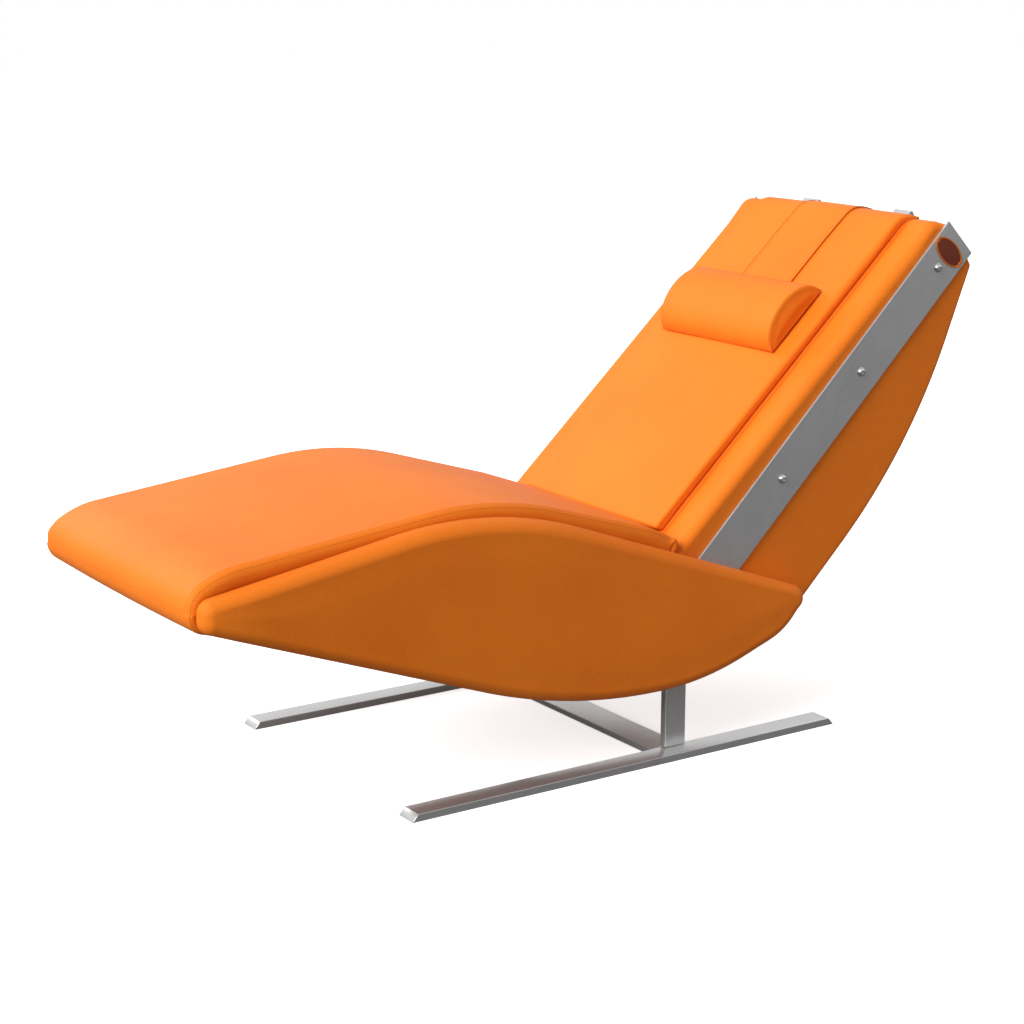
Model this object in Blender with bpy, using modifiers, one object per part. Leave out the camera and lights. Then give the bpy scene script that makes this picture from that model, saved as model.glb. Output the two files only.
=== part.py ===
# Relaxation lounger: an upholstered seat and a reclining back on a steel sled base.
# Metres, +Z up, foot end at -X, near side at -Y, origin on the floor under the middle of the lounger.
import math

import bmesh
import bpy

# Fits
GAP = 0.0003
SIDE_CLEARANCE = 0.0035
CURVE_TOLERANCE = 0.0004
TURNED_STEPS = 24
ROUND_END_STEPS = 12
HOLE_STEPS = 20
HOLE_OVERRUN = 0.004
BLIND_OVERRUN = 0.002

# Hip pivot, where the back turns on the uprights
PIVOT_X = 0.15435
PIVOT_Z = 0.2895
BACK_ANGLE = 44.49
PIVOT_BOLT_DIAMETER = 0.012
PIVOT_CLEARANCE = 0.00015
PIVOT_BOLT_REACH = 0.043
PIVOT_HEAD_DIAMETER = 0.030
PIVOT_HEAD_HEIGHT = 0.0022
PIVOT_HEAD_BEVEL = 0.003
FITTING_DIAMETER = 0.072
FITTING_THICKNESS = 0.0033
FITTING_CHAMFER = 0.0012
SPREADER_DIAMETER = 0.032

# Back frame: flat steel bars, timber rails, top plate
BACK_WIDTH = 0.624
BAR_REACH = 1.0021
BAR_WIDTH = 0.099
BAR_THICKNESS = 0.005
BACK_RAIL_WIDTH = 0.030
BACK_RAIL_DEPTH = 0.090
BACK_RAIL_START = 0.060
TOP_PLATE_THICKNESS = 0.005
TOP_PLATE_DROP = 0.0116
TOP_PLATE_MARGIN = 0.001
SCREWS_PER_BAR = 3
SCREW_FROM_PIVOT = 0.3507
SCREW_FROM_TOP = 0.0854
SCREW_HEAD_DIAMETER = 0.019
SCREW_HEAD_HEIGHT = 0.0055
SCREW_DIAMETER = 0.008
SCREW_BITE = 0.020

# Back upholstery, measured along the bars (from the pivot) and square to them
FACE_HEIGHT = 0.1035
FACE_TAPER = 0.0285
FRONT_PANEL_START = 0.020
FRONT_PANEL_FOOT_RADIUS = 0.020
FRONT_PANEL_DROP = 0.0094
FRONT_PANEL_SLANT = 0.0177
FRONT_PANEL_TOP_RADIUS = 0.058
FRONT_PANEL_LIP = 0.0029
FRONT_PANEL_ROLL = 0.018
HEAD_EASE = 0.128
BACK_CUSHION_TO_PAD = 0.0015
BACK_CUSHION_THICKNESS = 0.0197
BACK_CUSHION_TOP_THICKNESS = 0.010
BACK_CUSHION_TOP_RADIUS = 0.080
BACK_CUSHION_TOP_SETBACK = 0.002
BACK_CUSHION_TOP_EDGE = 0.002
BACK_CUSHION_FOOT_RADIUS = 0.006
BACK_CUSHION_HALF_WIDTH = 0.229
BACK_CUSHION_ROLL = 0.014
BACK_CUSHION_CROWN = 0.004
WEDGE_DEPTH = 0.239
WEDGE_FROM_PIVOT = 0.2054
WEDGE_FROM_TOP = 0.3758
WEDGE_FOOT_RADIUS = 0.010
WEDGE_HEEL_RADIUS = 0.040
WEDGE_BACK_RADIUS = 1.2
WEDGE_HEAD_DEPTH = 0.028
WEDGE_HEAD_RADIUS = 0.012
WEDGE_WALL = 0.018
WEDGE_ROLL = 0.014

# Strap, clips and pillow at the head
STRAP_WIDTH = 0.160
STRAP_THICKNESS = 0.0025
STRAP_START = 0.578
STRAP_SETBACK = 0.006
STRAP_FOOT = 0.036
STRAP_BEND = 0.005
CLAMP_WIDTH = 0.020
CLAMP_SETBACK = 0.034
CLAMP_THICKNESS = 0.003
CLIP_WIDTH = 0.050
CLIP_SPACING = 0.294
CLIP_THICKNESS = 0.0025
CLIP_HEIGHT = 0.0325
CLIP_DEPTH = 0.034
CLIP_FOOT = 0.014
CLIP_BEND = 0.0035
PILLOW_MIDDLE = 0.6526
PILLOW_LENGTH = 0.172
PILLOW_HEIGHT = 0.057
PILLOW_WIDTH = 0.360
PILLOW_ROLL = 0.006
PILLOW_STEPS = 18

# Sled base
RAIL_LENGTH = 1.025
RAIL_WIDTH = 0.050
RAIL_HEIGHT = 0.015
RAIL_BEVEL = 0.013
RAIL_BEHIND_PIVOT = 0.385
RAIL_OUTSET = 0.0155
CROSS_PLATE_WIDTH = 0.076
CROSS_PLATE_THICKNESS = 0.012
CROSS_PLATE_LEAD = 0.0175
UPRIGHT_WIDTH = 0.050
UPRIGHT_THICKNESS = 0.016

# Seat sides: distances from the pivot, forward or behind, above or below
PANEL_THICKNESS = 0.043
PANEL_ROLL = 0.016
SEAT_FORWARD = 1.058
KNEE_FORWARD = 0.4607
KNEE_RISE = 0.2905
FOOT_RISE = 0.1935
FOOT_DEPTH = 0.053
REAR_BEHIND = 0.3043
REAR_RISE = 0.0155
HEEL_BEHIND = 0.2453
HEEL_DROP = 0.0645
BELLY_DROP = 0.1385
BELLY_FORWARD = 0.2837
BELLY_BEHIND = 0.0353
TIP_RADIUS = 0.026
BELLY_FRONT_RADIUS = 1.18
BELLY_REAR_RADIUS = 0.62
HEEL_RADIUS = 0.150
REAR_RADIUS = 0.028
KNEE_RADIUS = 0.80

# Seat pad and the timber under it
PAD_THICKNESS = 0.058
PAD_ROLL = 0.024
PAD_CROWN = 0.008
PAD_TO_BACK = 0.004
PAD_FLANK_EASE = 0.918
PAD_REAR_CROWN = 0.3
PAD_NOSE_OVERHANG = 0.0025
PAD_NOSE_LIFT = 0.035
PAD_NOSE_DEPTH = 0.085
PAD_KNEE_SHIFT = 0.0237
PAD_KNEE_LIFT = 0.006
PAD_SIDE_CLEARANCE = 0.001
PAD_NOSE_TOP_RADIUS = 0.056
PAD_NOSE_UNDER_RADIUS = 0.046
PAD_KNEE_RADIUS = 0.70
PAD_REAR_RADIUS = 0.020
PAD_HEEL_RADIUS = 0.010
PAD_BLOCK_LENGTH = 0.109
PAD_BLOCK_FOOT = 0.074
PAD_BLOCK_DROP = 0.027
PAD_BLOCK_RADIUS = 0.020
PAD_BLOCK_FOOT_RADIUS = 0.015
DECK_THICKNESS = 0.012
DECK_SETBACK = 0.015
FORMER_THICKNESS = 0.018
FORMER_SETBACK = 0.004
SEAT_FORMER_SETBACK = 0.030
BELLY_COVER_THICKNESS = 0.006
BELLY_COVER_INSET = 0.008
BELLY_COVER_FRONT_GAP = 0.007
BELLY_COVER_BEHIND = 0.1163
SLOT_CLEARANCE = 0.002
STRETCHER_WIDTH = 0.040
STRETCHER_HEIGHT = 0.025
STRETCHER_SETBACK = 0.002

# Mounts that carry the seat on the uprights
MOUNT_HEIGHT = 0.052
MOUNT_CLEARANCE = 0.006
MOUNT_BOLT_DIAMETER = 0.008
MOUNT_BOLT_SPACING = 0.026
MOUNT_BOLT_BITE = 0.020
MOUNT_HEAD_DIAMETER = 0.0144
MOUNT_HEAD_HEIGHT = 0.005

SIDES = (("near", -1), ("far", 1))

# Distances out from the middle plane, from the pivot stack
bar_outer = BACK_WIDTH / 2
bar_inner = bar_outer - BAR_THICKNESS
moving_inner = bar_inner - GAP - FITTING_THICKNESS
fixed_inner = moving_inner - GAP - FITTING_THICKNESS
upright_outer = fixed_inner - GAP
upright_inner = upright_outer - UPRIGHT_THICKNESS
panel_inner = bar_outer + SIDE_CLEARANCE
rail_middle = upright_outer + RAIL_OUTSET
back_half = bar_inner - GAP

# Heights along the bars
plate_top = BAR_REACH - TOP_PLATE_DROP
plate_bottom = plate_top - TOP_PLATE_THICKNESS
front_panel_top = BAR_REACH - FRONT_PANEL_DROP
head_level = front_panel_top - HEAD_EASE
rail_half_depth = BACK_RAIL_DEPTH / 2


def clear_scene():
    for old in list(bpy.data.objects):
        bpy.data.objects.remove(old, do_unlink=True)
    for old in list(bpy.data.collections):
        bpy.data.collections.remove(old)


def new_collection(name):
    group = bpy.data.collections.new(name)
    bpy.context.scene.collection.children.link(group)
    return group


def new_material(name, colour, metallic, roughness):
    material = bpy.data.materials.new(name)
    material.use_nodes = True
    shader = material.node_tree.nodes["Principled BSDF"]
    shader.inputs["Base Color"].default_value = (*colour, 1.0)
    shader.inputs["Metallic"].default_value = metallic
    shader.inputs["Roughness"].default_value = roughness
    return material


def add_object(name, mesh, material, parent=None, group=None):
    item = bpy.data.objects.new(name, mesh)
    item.parent = parent
    if material:
        mesh.materials.append(material)
    (group or parts).objects.link(item)
    return item


def finish_mesh(name, form):
    bmesh.ops.recalc_face_normals(form, faces=form.faces[:])
    mesh = bpy.data.meshes.new(name)
    form.to_mesh(mesh)
    form.free()
    return mesh


def unit(p, q):
    length = math.hypot(p, q)
    return p / length, q / length


def fillet(corners, closed=True):
    # Each corner is (p, q, radius, roll weight, crown weight); its arc's points keep the corner's weights.
    # An arc may take nearly all of an edge that ends in a sharp corner, and less of one that it shares.
    points = []
    count = len(corners)
    for i, (p, q, radius, *weights) in enumerate(corners):
        if not closed and i in (0, count - 1):
            points.append((p, q, *weights))
            continue
        before = corners[i - 1]
        after = corners[(i + 1) % count]
        in_p, in_q = unit(p - before[0], q - before[1])
        out_p, out_q = unit(after[0] - p, after[1] - q)
        turn = math.atan2(in_p * out_q - in_q * out_p, in_p * out_p + in_q * out_q)
        if radius < 1e-5 or abs(turn) < 1e-3:
            points.append((p, q, *weights))
            continue
        room = [math.dist((p, q), other[:2]) * (0.65 if other[2] else 0.98) for other in (before, after)]
        reach = min(radius * math.tan(abs(turn) / 2), *room)
        radius = reach / math.tan(abs(turn) / 2)
        side = math.copysign(radius, turn)
        start_p, start_q = p - in_p * reach, q - in_q * reach
        centre_p, centre_q = start_p - in_q * side, start_q + in_p * side
        step = 2 * math.acos(max(1 - CURVE_TOLERANCE / radius, 0.9))
        steps = max(2, math.ceil(abs(turn) / step))
        for k in range(steps + 1):
            c, s = math.cos(turn * k / steps), math.sin(turn * k / steps)
            dp, dq = start_p - centre_p, start_q - centre_q
            points.append((centre_p + c * dp - s * dq, centre_q + s * dp + c * dq, *weights))
    return points


def arc_radius(before, corner, after, lip):
    # Largest arc at a corner that leaves a straight lip at the start of the edge that leads to it.
    in_p, in_q = unit(corner[0] - before[0], corner[1] - before[1])
    out_p, out_q = unit(after[0] - corner[0], after[1] - corner[1])
    turn = math.atan2(in_p * out_q - in_q * out_p, in_p * out_p + in_q * out_q)
    return (math.dist(before, corner) - lip) / math.tan(abs(turn) / 2)


def outward_normals(points):
    # Unit normals to the right of the direction of travel, outward on an anticlockwise outline.
    normals = []
    count = len(points)
    for i in range(count):
        before, here, after = points[i - 1], points[i], points[(i + 1) % count]
        first = unit(here[0] - before[0], here[1] - before[1])
        second = unit(after[0] - here[0], after[1] - here[1])
        normals.append(unit(first[1] + second[1], -first[0] - second[0]))
    return normals


def inset_corners(corners, walls):
    # Moves each edge in by its wall and meets the moved edges again; edge i leaves corner i.
    moved = []
    for i, (p, q, radius, *weights) in enumerate(corners):
        lines = []
        for j in (i - 1, i):
            start, end = corners[j], corners[(j + 1) % len(corners)]
            along = unit(end[0] - start[0], end[1] - start[1])
            normal = (-along[1], along[0])
            lines.append((normal, normal[0] * p + normal[1] * q + walls[j]))
        (n1, d1), (n2, d2) = lines
        cross = n1[0] * n2[1] - n1[1] * n2[0]
        spot = ((d1 * n2[1] - d2 * n1[1]) / cross, (n1[0] * d2 - n2[0] * d1) / cross)
        moved.append((*spot, max(radius - max(walls[i], 0.0), 0.0), *weights))
    return moved


def strip(chain, thickness):
    # Closes an open run of points into a strip, thickened to the left of its direction.
    other = []
    for i, here in enumerate(chain):
        before, after = chain[max(i - 1, 0)], chain[min(i + 1, len(chain) - 1)]
        normals = []
        for a, b in ((before, here), (here, after)):
            if math.dist(a[:2], b[:2]) > 1e-9:
                along = unit(b[0] - a[0], b[1] - a[1])
                normals.append((-along[1], along[0]))
        left = unit(sum(n[0] for n in normals), sum(n[1] for n in normals))
        reach = thickness / (left[0] * normals[0][0] + left[1] * normals[0][1])
        other.append((here[0] + left[0] * reach, here[1] + left[1] * reach))
    return [point[:2] for point in chain] + other[::-1]


def shift(points, dz):
    return [(p, q + dz) for p, q, *_ in points]


def height_at(points, x):
    for (x0, z0, *_), (x1, z1, *_) in zip(points, points[1:]):
        if x0 <= x <= x1:
            return z0 + (z1 - z0) * (x - x0) / (x1 - x0)
    return points[-1][1]


def clip_run(points, x0, x1):
    inside = [point[:2] for point in points if x0 + 1e-4 < point[0] < x1 - 1e-4]
    return [(x0, height_at(points, x0)), *inside, (x1, height_at(points, x1))]


def meet(point, slope, base, direction):
    # Where a line of a given slope through a point crosses a line given by base and direction.
    run = point[1] - base[1] + slope * (base[0] - point[0])
    reach = run / (direction[1] - slope * direction[0])
    return base[0] + direction[0] * reach, base[1] + direction[1] * reach


def plate(name, outline, y0, y1, material, parent=None, group=None):
    form = bmesh.new()
    face = form.faces.new([form.verts.new((p, y0, q)) for p, q, *_ in outline])
    grown = bmesh.ops.extrude_face_region(form, geom=[face])["geom"]
    moved = [item for item in grown if isinstance(item, bmesh.types.BMVert)]
    bmesh.ops.translate(form, verts=moved, vec=(0, y1 - y0, 0))
    return add_object(name, finish_mesh(name, form), material, parent, group)


def box(name, x, y, z, material, parent=None, group=None):
    form = bmesh.new()
    bmesh.ops.create_cube(form, size=1.0)
    bmesh.ops.scale(form, verts=form.verts, vec=(x[1] - x[0], y[1] - y[0], z[1] - z[0]))
    bmesh.ops.translate(form, verts=form.verts, vec=(sum(x) / 2, sum(y) / 2, sum(z) / 2))
    return add_object(name, finish_mesh(name, form), material, parent, group)


def loft(name, outline, half_width, roll, crown, material, parent=None):
    # Carries an outline across the width, drawn in by a quarter circle at each side and swelled by a crown.
    turns = [math.radians(angle) for angle in (90, 60, 30, 0)]
    edge = [(half_width - roll + roll * math.sin(t), roll * (1 - math.cos(t))) for t in turns]
    middle = [((half_width - roll) * part, 0.0) for part in (0.75, 0.4, 0.0)] if crown else []
    right = edge + middle
    stations = right + [(-y, inset) for y, inset in reversed(right) if y > 0]
    normals = outward_normals(outline)
    verts = []
    for y, inset in stations:
        swell = crown * (1 - (y / half_width) ** 2)
        for (p, q, roll_weight, crown_weight), (np, nq) in zip(outline, normals):
            out = swell * crown_weight - inset * roll_weight
            verts.append((p + np * out, y, q + nq * out))
    form = bmesh.new()
    made = [form.verts.new(vert) for vert in verts]
    count = len(outline)
    rings = [made[i:i + count] for i in range(0, len(made), count)]
    for ring, following in zip(rings, rings[1:]):
        for i in range(count):
            j = (i + 1) % count
            form.faces.new((ring[i], ring[j], following[j], following[i]))
    form.faces.new(rings[0])
    form.faces.new(rings[-1])
    return add_object(name, finish_mesh(name, form), material, parent)


def turned(name, profile, ring, location, outward, material, parent=None):
    # A profile of (radius, height) spun about an axis that points outward along Y.
    mesh = bpy.data.meshes.new(name)
    edges = [(i, i + 1) for i in range(len(profile) - 1)]
    if ring:
        edges.append((len(profile) - 1, 0))
    mesh.from_pydata([(radius, 0.0, height) for radius, height in profile], edges, [])
    item = add_object(name, mesh, material, parent)
    item.location = location
    item.rotation_euler = (-outward * math.pi / 2, 0.0, 0.0)
    spin = item.modifiers.new("spin", "SCREW")
    spin.axis = "Z"
    spin.angle = 2 * math.pi
    spin.steps = TURNED_STEPS
    spin.render_steps = TURNED_STEPS
    spin.use_merge_vertices = True
    spin.merge_threshold = 1e-5
    return item


def drill(targets, name, diameter, y0, y1, spot, parent=None):
    form = bmesh.new()
    bmesh.ops.create_cone(form, cap_ends=True, segments=HOLE_STEPS, radius1=diameter / 2,
                          radius2=diameter / 2, depth=abs(y1 - y0))
    turn = [(1, 0, 0), (0, 0, 1), (0, -1, 0)]
    for vert in form.verts:
        vert.co = [sum(a * b for a, b in zip(row, vert.co)) for row in turn]
    tool = add_object(name, finish_mesh(name, form), None, parent, cutters)
    tool.location = (spot[0], (y0 + y1) / 2, spot[1])
    for target in targets:
        cut(target, tool)


def cut(target, tool):
    tool.hide_render = True
    tool.display_type = "WIRE"
    modifier = target.modifiers.new(tool.name, "BOOLEAN")
    modifier.operation = "DIFFERENCE"
    modifier.solver = "EXACT"
    modifier.object = tool


def span(sign, inner, outer):
    return sorted((sign * inner, sign * outer))


def round_head(diameter, height, shank, length):
    # A domed head on a plain shank, the head's underside at height zero.
    dome = [(diameter / 2 * math.sin(math.radians(a)), height * (0.25 + 0.75 * math.cos(math.radians(a))))
            for a in (0, 30, 60, 90)]
    return dome + [(diameter / 2, 0.0), (shank / 2, 0.0), (shank / 2, -length), (0.0, -length)]


def make_base():
    rail_front = PIVOT_X + RAIL_BEHIND_PIVOT - RAIL_LENGTH
    rail_rear = PIVOT_X + RAIL_BEHIND_PIVOT
    rail_outline = [(rail_front, 0.0), (rail_rear, 0.0), (rail_rear - RAIL_BEVEL, RAIL_HEIGHT),
                    (rail_front + RAIL_BEVEL, RAIL_HEIGHT)]
    head = UPRIGHT_WIDTH / 2
    upright_outline = [(PIVOT_X - head, RAIL_HEIGHT + GAP), (PIVOT_X + head, RAIL_HEIGHT + GAP)]
    for k in range(ROUND_END_STEPS + 1):
        angle = math.pi * k / ROUND_END_STEPS
        upright_outline.append((PIVOT_X + head * math.cos(angle), PIVOT_Z + head * math.sin(angle)))
    uprights = {}
    for side, sign in SIDES:
        rail_y = span(sign, rail_middle - RAIL_WIDTH / 2, rail_middle + RAIL_WIDTH / 2)
        plate(f"rail_{side}", rail_outline, *rail_y, steel)
        upright_y = span(sign, upright_inner, upright_outer)
        uprights[side] = plate(f"upright_{side}", upright_outline, *upright_y, steel)
        drill([uprights[side]], f"pivot_hole_{side}", PIVOT_BOLT_DIAMETER + 2 * PIVOT_CLEARANCE,
              upright_y[0] - HOLE_OVERRUN, upright_y[1] + HOLE_OVERRUN, (PIVOT_X, PIVOT_Z))
    plate_middle = PIVOT_X - CROSS_PLATE_LEAD
    plate_half = rail_middle - RAIL_WIDTH / 2 - GAP
    box("cross_plate", (plate_middle - CROSS_PLATE_WIDTH / 2, plate_middle + CROSS_PLATE_WIDTH / 2),
        (-plate_half, plate_half), (RAIL_HEIGHT - CROSS_PLATE_THICKNESS, RAIL_HEIGHT), steel)
    return uprights


def make_hip(back):
    bore = PIVOT_BOLT_DIAMETER / 2 + PIVOT_CLEARANCE
    half = upright_inner - GAP
    tube = [(SPREADER_DIAMETER / 2, half), (SPREADER_DIAMETER / 2, -half), (bore, -half), (bore, half)]
    turned("hip_spreader", tube, True, (PIVOT_X, 0.0, PIVOT_Z), 1, steel)
    rim = FITTING_DIAMETER / 2
    disc = [(rim - FITTING_CHAMFER, FITTING_THICKNESS), (rim, FITTING_THICKNESS - FITTING_CHAMFER),
            (rim, FITTING_CHAMFER), (rim - FITTING_CHAMFER, 0.0), (bore, 0.0), (bore, FITTING_THICKNESS)]
    head = PIVOT_HEAD_DIAMETER / 2
    shank = PIVOT_BOLT_DIAMETER / 2
    length = bar_outer + GAP - upright_inner + PIVOT_BOLT_REACH
    bolt = [(0.0, PIVOT_HEAD_HEIGHT), (head - PIVOT_HEAD_BEVEL, PIVOT_HEAD_HEIGHT),
            (head, PIVOT_HEAD_HEIGHT / 2), (head, 0.0), (shank, 0.0), (shank, -length), (0.0, -length)]
    for side, sign in SIDES:
        turned(f"fitting_fixed_{side}", disc, True, (PIVOT_X, sign * fixed_inner, PIVOT_Z), sign, steel)
        turned(f"fitting_moving_{side}", disc, True, (0.0, sign * moving_inner, 0.0), sign, steel, back)
        turned(f"pivot_bolt_{side}", bolt, False, (PIVOT_X, sign * (bar_outer + GAP), PIVOT_Z), sign, bright)


def panel_corners():
    tip = PIVOT_X - SEAT_FORWARD
    top = PIVOT_Z + FOOT_RISE
    belly = PIVOT_Z - BELLY_DROP
    return [
        (tip, top - FOOT_DEPTH, TIP_RADIUS, 1.0, 0.0),
        (PIVOT_X - BELLY_FORWARD, belly, BELLY_FRONT_RADIUS, 1.0, 0.0),
        (PIVOT_X + BELLY_BEHIND, belly, BELLY_REAR_RADIUS, 1.0, 0.0),
        (PIVOT_X + HEEL_BEHIND, PIVOT_Z - HEEL_DROP, HEEL_RADIUS, 1.0, 0.0),
        (PIVOT_X + REAR_BEHIND, PIVOT_Z + REAR_RISE, REAR_RADIUS, 1.0, 0.0),
        (PIVOT_X - KNEE_FORWARD, PIVOT_Z + KNEE_RISE, KNEE_RADIUS, 1.0, 0.0),
        (tip, top, TIP_RADIUS, 1.0, 0.0),
    ]


def back_point(along, height):
    angle = math.radians(BACK_ANGLE)
    return (PIVOT_X + along * math.cos(angle) - height * math.sin(angle),
            PIVOT_Z + along * math.sin(angle) + height * math.cos(angle))


def on_back(x, z):
    # A point of the lounger's own plane as a distance along the bars and a height over them.
    angle = math.radians(BACK_ANGLE)
    dx, dz = x - PIVOT_X, z - PIVOT_Z
    return dx * math.cos(angle) + dz * math.sin(angle), dz * math.cos(angle) - dx * math.sin(angle)


def face_height(along):
    return FACE_HEIGHT - FACE_TAPER * along


def face_line(lift):
    low = back_point(0.0, face_height(0.0) + lift)
    high = back_point(BAR_REACH, face_height(BAR_REACH) + lift)
    return low, unit(high[0] - low[0], high[1] - low[1])


def pad_flank(corners):
    # The pad's top from the knee down to the back, a little less steep than the panels' edge.
    knee, rear = corners[5], corners[4]
    knee_top = (knee[0] + PAD_KNEE_SHIFT, knee[1] + PAD_KNEE_LIFT)
    return knee_top, PAD_FLANK_EASE * (rear[1] - knee[1]) / (rear[0] - knee[0])


def pad_corners(corners):
    tip = corners[6]
    nose_x = tip[0] - PAD_NOSE_OVERHANG
    nose_top = tip[1] + PAD_NOSE_LIFT
    nose_under = nose_top - PAD_NOSE_DEPTH
    knee_top, flank = pad_flank(corners)
    knee_under = (knee_top[0], knee_top[1] - PAD_THICKNESS)
    rise = (knee_top[1] - nose_top) / (knee_top[0] - nose_x)
    rear_top = meet(knee_top, flank, *face_line(PAD_TO_BACK))
    rear_under = meet(knee_under, flank, *face_line(PAD_TO_BACK))
    block_x = nose_x + PAD_BLOCK_LENGTH
    block_z = knee_under[1] - rise * (knee_under[0] - block_x)
    return [
        (nose_x, nose_under, PAD_NOSE_UNDER_RADIUS, 1.2, 0.0),
        (nose_x + PAD_BLOCK_FOOT, nose_under - PAD_BLOCK_DROP, PAD_BLOCK_FOOT_RADIUS, 0.55, 0.0),
        (block_x, block_z, PAD_BLOCK_RADIUS, 0.55, 0.0),
        (*knee_under, PAD_KNEE_RADIUS - PAD_THICKNESS, 1.0, 0.0),
        (*rear_under, PAD_HEEL_RADIUS, 0.4, 0.0),
        (*rear_top, PAD_REAR_RADIUS, 0.8, PAD_REAR_CROWN),
        (*knee_top, PAD_KNEE_RADIUS, 1.0, 1.0),
        (nose_x, nose_top, PAD_NOSE_TOP_RADIUS, 1.6, 0.5),
    ]


def make_seat(uprights):
    corners = panel_corners()
    panel_outline = fillet(corners)
    panel_middle = panel_inner + PANEL_THICKNESS / 2
    panels = {}
    for side, sign in SIDES:
        panel = loft(f"side_panel_{side}", panel_outline, PANEL_THICKNESS / 2, PANEL_ROLL, 0.0, leather)
        panel.location.y = sign * panel_middle
        panels[side] = panel
    inside = panel_inner - GAP

    pad = pad_corners(corners)
    loft("seat_pad", fillet(pad), panel_inner - PAD_SIDE_CLEARANCE, PAD_ROLL, PAD_CROWN, leather)

    under = fillet(pad[2:5], closed=False)
    deck_front = pad[2][0] + DECK_SETBACK
    deck_rear = pad[4][0] - DECK_SETBACK
    deck_top = shift(clip_run(under, deck_front, deck_rear), -1.1 * GAP)
    deck_under = shift(deck_top, -DECK_THICKNESS)
    plate("seat_deck", deck_under + deck_top[::-1], -inside, inside, plywood)

    belly_run = fillet(corners[0:4], closed=False)
    belly_front = pad[1][0] + BELLY_COVER_FRONT_GAP
    belly_rear = PIVOT_X + BELLY_COVER_BEHIND
    belly_under = shift(clip_run(belly_run, belly_front, belly_rear), BELLY_COVER_INSET)
    belly_top = shift(belly_under, BELLY_COVER_THICKNESS)
    cover = plate("belly_cover", belly_under + belly_top[::-1], -inside, inside, leather)
    for side, sign in SIDES:
        reach = UPRIGHT_WIDTH / 2 + SLOT_CLEARANCE
        slot_y = span(sign, upright_inner - SLOT_CLEARANCE, inside + HOLE_OVERRUN)
        slot = box(f"upright_slot_{side}", (PIVOT_X - reach, PIVOT_X + reach), slot_y,
                   (RAIL_HEIGHT, PIVOT_Z), None, None, cutters)
        cut(cover, slot)

    places = {
        "front_former": deck_front + FORMER_SETBACK,
        "knee_former": corners[5][0] - FORMER_THICKNESS / 2,
        "seat_former": deck_rear - FORMER_THICKNESS - SEAT_FORMER_SETBACK,
    }
    for name, x in places.items():
        ends = (x, x + FORMER_THICKNESS)
        low = [(end, height_at(belly_top, end) + GAP) for end in ends]
        high = [(end, height_at(deck_under, end) - GAP) for end in ends]
        plate(name, low + high[::-1], -inside, inside, plywood)
    stretcher_rear = belly_rear - STRETCHER_SETBACK
    stretcher = (stretcher_rear - STRETCHER_WIDTH, stretcher_rear)
    low = [(end, height_at(belly_top, end) + GAP) for end in stretcher]
    plate("rear_stretcher", low + shift(low, STRETCHER_HEIGHT)[::-1], -inside, inside, plywood)
    make_mounts(uprights, panels)


def make_mounts(uprights, panels):
    block_outer = panel_inner - GAP
    block_top = PIVOT_Z - BAR_WIDTH / 2 - MOUNT_CLEARANCE
    bolt_z = block_top - MOUNT_HEIGHT / 2
    hole = MOUNT_BOLT_DIAMETER + 2 * GAP
    length = panel_inner + MOUNT_BOLT_BITE - upright_inner
    bolt = round_head(MOUNT_HEAD_DIAMETER, MOUNT_HEAD_HEIGHT, MOUNT_BOLT_DIAMETER, length)
    hole_end = panel_inner + MOUNT_BOLT_BITE + BLIND_OVERRUN
    for side, sign in SIDES:
        block = box(f"mount_block_{side}", (PIVOT_X - UPRIGHT_WIDTH / 2, PIVOT_X + UPRIGHT_WIDTH / 2),
                    span(sign, upright_outer + GAP, block_outer),
                    (block_top - MOUNT_HEIGHT, block_top), steel)
        for number, step in ((1, -0.5), (2, 0.5)):
            spot = (PIVOT_X + step * MOUNT_BOLT_SPACING, bolt_z)
            drill([uprights[side], block, panels[side]], f"mount_hole_{side}_{number}", hole,
                  sign * (upright_inner - HOLE_OVERRUN), sign * hole_end, spot)
            turned(f"mount_bolt_{side}_{number}", bolt, False,
                   (spot[0], sign * (upright_inner - GAP), spot[1]), -sign, bright)


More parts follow.
